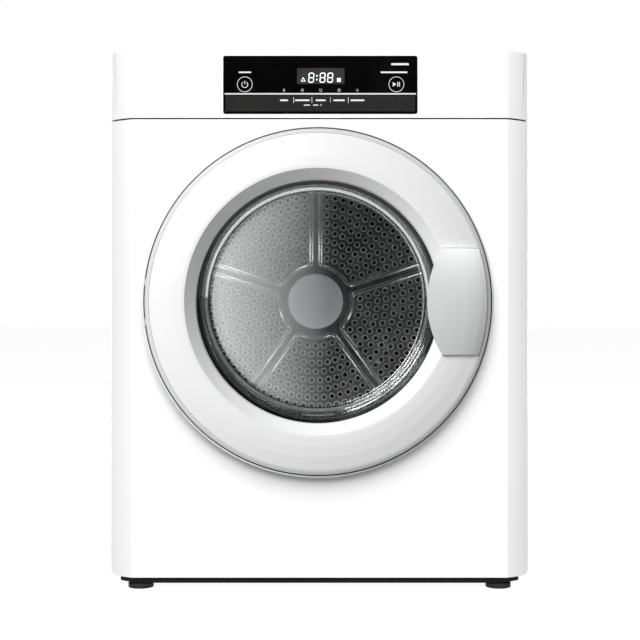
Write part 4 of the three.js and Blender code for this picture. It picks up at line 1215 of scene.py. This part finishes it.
def drum_shell():
    outer, inner = DRUM_RADIUS, DRUM_RADIUS - 1
    profile = [(inner, DRUM_REAR + 0.3), (outer, DRUM_REAR + 0.3, 0.3)]
    beads = (-118, -20, 78)
    for out in beads:
        profile += [(outer, out - 6, 2), (outer - 2.2, out - 2.5, 2.5), (outer - 2.2, out + 2.5, 2.5), (outer, out + 6, 2)]
    profile += [(outer, DRUM_FRONT - 0.3, 0.3), (inner, DRUM_FRONT - 0.3, 0.3)]
    for out in reversed(beads):
        profile += [(inner, out + 6.4, 2), (inner - 2.2, out + 2.9, 2.5), (inner - 2.2, out - 2.9, 2.5), (inner, out - 6.4, 2)]
    shell = lathe("drum_tube", profile, DRUM_X, DRUM_UP, 192, 4)
    keep(shell, "drum", DRUM_STEEL, ["drum_shell"], angle=30)


def hub_cap():
    seat = DRUM_FACE + 0.4
    cap = lathe("hub_dish", [
        (0, seat - 2.3), (38.7, seat - 2.3), (38.7, seat + 8.2, 1.6), (37.3, seat + 11.2, 1.2), (34.8, seat + 12.4, 2), (31, seat + 12.8, 6),
        (20, seat + 11, 14), (13, seat + 9.2, 10), (7, seat + 8.7, 6), (0, seat + 9.2),
    ], DRUM_X, DRUM_UP, 128, 6)
    keep(cap, "drum", HUB, ["hub_cap"], angle=24)


def lifter(index):
    """One hollow-looking fin, swept from the drum's wall inwards with rounded crest and ends."""
    base = DRUM_RADIUS - 4.5
    half_section = [(-28, -base), (28, -base), (26.5, 3 - base, 2), (18.5, 13 - base, 8), (9.5, 36 - base, 8), (6.5, 43 - base, 5.5),
                    (-6.5, 43 - base, 5.5), (-9.5, 36 - base, 8), (-18.5, 13 - base, 8), (-26.5, 3 - base, 2)]
    fin = prism("fin", half_section, DRUM_FACE + 6, DRUM_FRONT - 12, "out", 6)
    round_edges(fin, lambda e: all(near(v.co.y, -(DRUM_FRONT - 12)) for v in e.verts) or
                all(near(v.co.y, -(DRUM_FACE + 6)) for v in e.verts), 2.2, 4)
    fin.data.transform(turned_about(0, 0, math.radians(36 + 120 * (index - 1))))
    fin.data.transform(Matrix.Translation(at(DRUM_X, 0, DRUM_UP)))
    fin.name = f"lifter_fin_{index}"
    keep(fin, "drum", GREY, [f"lifter_{index}"], angle=24)


# ---------------------------------------------------------------- behind the door


def bulkhead():
    low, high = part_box("front_bulkhead")
    plate = prism("bulkhead_plate", rounded_box(low.x / MM, high.x / MM, low.z / MM, high.z / MM, 20), 131, 133, "out", 8)
    hole = prism("hole", circle(DOOR_X, DOOR_UP, 148.5, 128), 125, 140, "out")
    cut(plate, hole)
    # The mouth is a drawn tube that flares out at both ends.
    tube = lathe("mouth", [
        (148, 131.2, 0.4), (152, 131.2, 0.4), (152, 133, 0.4), (150, 135, 1.5), (150, 178.6, 0.4), (149, 179.5, 0.4), (148, 178.6, 0.4),
    ], segments=192)
    pins = []
    for side in ("left", "right"):
        x, up = middle_of(f"support_roller_{side}")
        pins.append(lathe("pin", [(0, 98, 0), (4, 98, 0.6), (4, 132), (0, 132)], x, up, 32))
    joined = merged("bulkhead_and_mouth", plate, tube, *pins)
    slot_low, slot_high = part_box("lint_filter")
    slot = block("slot", (slot_low.x / MM - 2, slot_high.x / MM + 2), (-slot_high.y / MM - 1.5, -slot_low.y / MM + 1), (170, 225))
    cut(joined, slot)
    keep(joined, "cabinet", GALVANISED, ["front_bulkhead"], angle=28)


def lint_filter():
    low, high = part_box("lint_filter")
    x0, x1, rear, front = low.x / MM, high.x / MM, -high.y / MM, -low.y / MM
    bottom, top = low.z / MM, high.z / MM
    frame_piece = prism("filter_frame", rounded_box(x0, x1, bottom, top, 4), rear, front, "out", 4)
    arc = prism("arc", circle(DOOR_X, DOOR_UP, 144, 96), rear - 1, front + 1, "out")
    windows = [prism("window", rounded_box(DOOR_X + a, DOOR_X + b, bottom + 6, 184, 3), rear - 1, front + 1, "out", 4)
               for a, b in ((-79, -4), (4, 79))]
    cut(frame_piece, arc, *windows)
    soften_now(frame_piece, 0.7, 3)
    tab = prism("tab", rounded_box(DOOR_X - 20, DOOR_X + 20, 186, 204, 4), rear + 0.4, front - 0.4, "out", 5)
    soften_now(tab, 1.0, 3)
    grips = [prism("grip", rounded_box(DOOR_X - 14, DOOR_X + 14, up - 0.8, up + 0.8, 0.7), rear + 0.1, front - 0.1, "out", 3)
             for up in (196, 199, 202 - 1)]
    body = merged("filter_frame", frame_piece, tab, *grips)
    keep(body, "lint_filter", GREY, ["lint_filter"], angle=28)
    # Woven screen in the two windows, as crossing threads.
    threads = []
    middle = (rear + front) / 2
    for a, b in ((-79, -4), (4, 79)):
        for k in range(1, 30):
            x = DOOR_X + a + (b - a) * k / 30
            threads.append([(x - 0.22, bottom + 5), (x + 0.22, bottom + 5), (x + 0.22, 184.5), (x - 0.22, 184.5)])
        for k in range(1, 30):
            up = bottom + 6 + (178 - bottom) * k / 30
            threads.append([(DOOR_X + a - 1, up - 0.22), (DOOR_X + b + 1, up - 0.22), (DOOR_X + b + 1, up + 0.22), (DOOR_X + a - 1, up + 0.22)])
    marks("filter_screen", threads, middle, "lint_filter", GREY, 0.3)


def carried_over():
    """CAD nodes that stay, with soft edges and their own finishes."""
    finishes = {
        GALVANISED: ["motor", "hinge_bracket", "hinge_arm", "idler_arm"],
        STEEL: ["drum_shaft", "drum_bearing", "rotor_shaft"],
        SCALED: ["heater", "bearing_bracket"],
        GREY: ["glass_clamp", "door_strike", "support_roller_left", "support_roller_right", "idler_wheel"],
        DARK: ["fan_housing", "lint_duct", "exhaust_duct", "latch_catch", "fan_wheel", "thermostat"],
        RUBBER: ["drive_belt"],
        FELT: ["drum_front_seal", "drum_rear_seal"],
        BOARD: ["control_board"],
    }
    for material, names in finishes.items():
        for name in names:
            node = NODES[name]
            node.data.materials.clear()
            node.data.materials.append(material)
            weld = node.modifiers.new("weld", "WELD")
            weld.merge_threshold = 0.00001
            soften(node, 0.25, 2, 40)


HUB = moulded("hub_grey", 0.40, 0.36, 0.34, 700, 0.00015, 0.06)

front_panel()
control_fascia()
top_cover()
side_panel(-1)
side_panel(1)
rear_panel()
rear_cover()
exhaust_collar()
mains_gland()
base_pan()
for place in ("front", "rear"):
    for side in (-1, 1):
        foot(place, side)
display_window()
display_graphics()
panel_print()
round_key("power_key")
round_key("start_key")
for number, length in enumerate((9.5, 17.5, 12.0, 13.5, 16.5), 1):
    programme_key(number, length)
door_ring()
door_liner()
door_glass()
door_handle()
door_gasket()
drum_back()
drum_shell()
hub_cap()
for number in (1, 2, 3):
    lifter(number)
bulkhead()
lint_filter()
carried_over()

# ---------------------------------------------------------------- stage


def emitter(name, strength, fade=None):
    """A plain light-giving material. fade is (axis, from, to): the object coordinate over which it goes dark."""
    material = bpy.data.materials.new(name)
    material.use_nodes = True
    tree = material.node_tree
    tree.nodes.clear()
    light = tree.nodes.new("ShaderNodeEmission")
    light.inputs["Strength"].default_value = strength
    out = tree.nodes.new("ShaderNodeOutputMaterial")
    tree.links.new(light.outputs["Emission"], out.inputs["Surface"])
    if fade:
        place = tree.nodes.new("ShaderNodeTexCoord")
        axes = tree.nodes.new("ShaderNodeSeparateXYZ")
        tree.links.new(place.outputs["Object"], axes.inputs["Vector"])
        mapped = tree.nodes.new("ShaderNodeMapRange")
        tree.links.new(axes.outputs[fade[0]], mapped.inputs["Value"])
        mapped.inputs["From Min"].default_value = fade[1]
        mapped.inputs["From Max"].default_value = fade[2]
        mapped.inputs["To Min"].default_value = strength
        mapped.inputs["To Max"].default_value = 0
        tree.links.new(mapped.outputs["Result"], light.inputs["Strength"])
    return material


def only_for(light, *pieces):
    """Lets a lamp or card light nothing but the pieces."""
    group = bpy.data.collections.new(light.name + "_on")
    for piece in pieces:
        group.objects.link(piece)
    light.light_linking.receiver_collection = group


def card(name, corner, across, rise, material):
    """A flat reflector that only reflections see."""
    a, u, v = Vector(corner), Vector(across), Vector(rise)
    mesh = bpy.data.meshes.new(name)
    mesh.from_pydata([tuple(q) for q in (a, a + u, a + u + v, a + v)], [], [[0, 1, 2, 3]])
    made = new_object(name, mesh)
    made.data.materials.append(material)
    made.visible_camera = made.visible_diffuse = made.visible_shadow = False
    made.visible_transmission = made.visible_volume_scatter = False
    return made


def softbox(name, place, aim, size, power):
    light = bpy.data.lights.new(name, "AREA")
    light.shape = "RECTANGLE"
    light.size, light.size_y = size
    light.energy = power
    made = bpy.data.objects.new(name, light)
    bpy.context.scene.collection.objects.link(made)
    made.location = place
    made.rotation_euler = (Vector(aim) - Vector(place)).to_track_quat("-Z", "Y").to_euler()
    made.visible_camera = False
    return made


def pale_floor():
    mesh = bpy.data.meshes.new("floor")
    reach = 60
    mesh.from_pydata([(-reach, -reach, 0), (reach, -reach, 0), (reach, reach, 0), (-reach, reach, 0)], [], [[0, 1, 2, 3]])
    floor = new_object("floor", mesh)
    material = bpy.data.materials.new("pale_floor")
    material.use_nodes = True
    shader = material.node_tree.nodes["Principled BSDF"]
    shader.inputs["Base Color"].default_value = (0.12, 0.12, 0.12, 1)
    shader.inputs["Roughness"].default_value = 0.9
    shader.inputs["Specular IOR Level"].default_value = 0.0
    shader.inputs["Emission Color"].default_value = (1, 1, 1, 1)
    shader.inputs["Emission Strength"].default_value = 0.95
    floor.data.materials.append(material)
    floor.visible_diffuse = False


def studio_air():
    """White beyond the floor, and a softer light on everything."""
    world = bpy.data.worlds.new("studio")
    bpy.context.scene.world = world
    world.use_nodes = True
    tree = world.node_tree
    seen = tree.nodes.new("ShaderNodeLightPath")
    strength = tree.nodes.new("ShaderNodeMapRange")
    tree.links.new(seen.outputs["Is Camera Ray"], strength.inputs["Value"])
    strength.inputs["To Min"].default_value = AIR
    strength.inputs["To Max"].default_value = 1.0
    tree.links.new(strength.outputs["Result"], tree.nodes["Background"].inputs["Strength"])
    tree.nodes["Background"].inputs["Color"].default_value = (1, 1, 1, 1)


AIR = 0.20


def stage():
    pale_floor()
    studio_air()
    door_pieces = DOOR_PIECES + [NODES[name] for name in ("glass_clamp", "door_strike", "hinge_arm")]
    others = OTHER_PIECES + [node for name, node in NODES.items() if node not in door_pieces] + [bpy.data.objects["floor"]]
    cover = bpy.data.objects["lid"]
    only_for(softbox("key_cabinet", (-0.4, -3.8, 3.5), (0, -0.1, 0.33), (5.5, 4.2), 425), *[thing for thing in others if thing is not cover])
    only_for(softbox("key_cover", (-0.4, -3.8, 3.5), (0, -0.1, 0.33), (5.5, 4.2), 270), cover)
    only_for(softbox("key_door", (-2.5, -4.5, 3.2), (0, -0.1, 0.33), (3.0, 3.0), 365), *door_pieces)
    softbox("side_right", (2.1, 2.6, 0.8), (0, 0.1, 0.33), (1.0, 1.6), 52)
    softbox("side_left", (-2.1, 2.6, 0.8), (0, 0.1, 0.33), (1.0, 1.6), 46)
    softbox("back", (0.2, 3.2, 0.8), (0, 0.1, 0.33), (1.6, 1.2), 17)
    piece = bpy.data.objects
    glass = piece["glass_bowl"]
    card("dark_card", (-0.8, -1.9, -0.3), (1.6, 0, 0), (0, 0, 1.7), emitter("dark_card", 0.01))
    veil = emitter("veil_card", 3.8, ("X", -0.34, 0.02))
    only_for(card("veil_card", (-0.62, -1.86, -0.25), (0.66, 0, 0), (0, 0, 1.2), veil), glass)
    only_for(card("sky_strip", (-1.3, -1.25, 1.45), (2.6, 0, 0), (0, 0, 0.35), emitter("sky_strip", 2.4)), glass)
    inside = [piece[name] for name in ("drum_wall", "hub_dish", "drum_tube", "lifter_fin_1", "lifter_fin_2", "lifter_fin_3")]
    for index in range(8):
        angle = math.radians(45 * index + 22)
        place = at(DRUM_X + 207 * math.cos(angle), DRUM_FACE + 105, DRUM_UP + 207 * math.sin(angle))
        aim = at(DRUM_X, DRUM_FACE, DRUM_UP)
        only_for(softbox(f"drum_lamp_{index + 1}", place, aim, (0.05, 0.03), 0.085), *inside)
    front = softbox("hub_lamp", (-0.25, -1.5, 0.75), at(DRUM_X, DRUM_FACE, DRUM_UP), (0.5, 0.5), 1.2)
    only_for(front, piece["hub_dish"])
    top = softbox("handle_lamp", at(158, 260, 520), at(158, 215, 345), (0.10, 0.05), 0.5)
    only_for(top, piece["pull_plate"])

    data = bpy.data.cameras.new("camera")
    data.lens, data.sensor_width = 74.36, 36
    data.clip_start, data.clip_end = 0.05, 60
    camera = bpy.data.objects.new("camera", data)
    bpy.context.scene.collection.objects.link(camera)
    camera.location = (0.0005, -1.732, 0.3158)
    camera.rotation_euler = (math.radians(90), 0, 0)
    bpy.context.scene.camera = camera
    bpy.context.scene.view_settings.view_transform = "Standard"


stage()
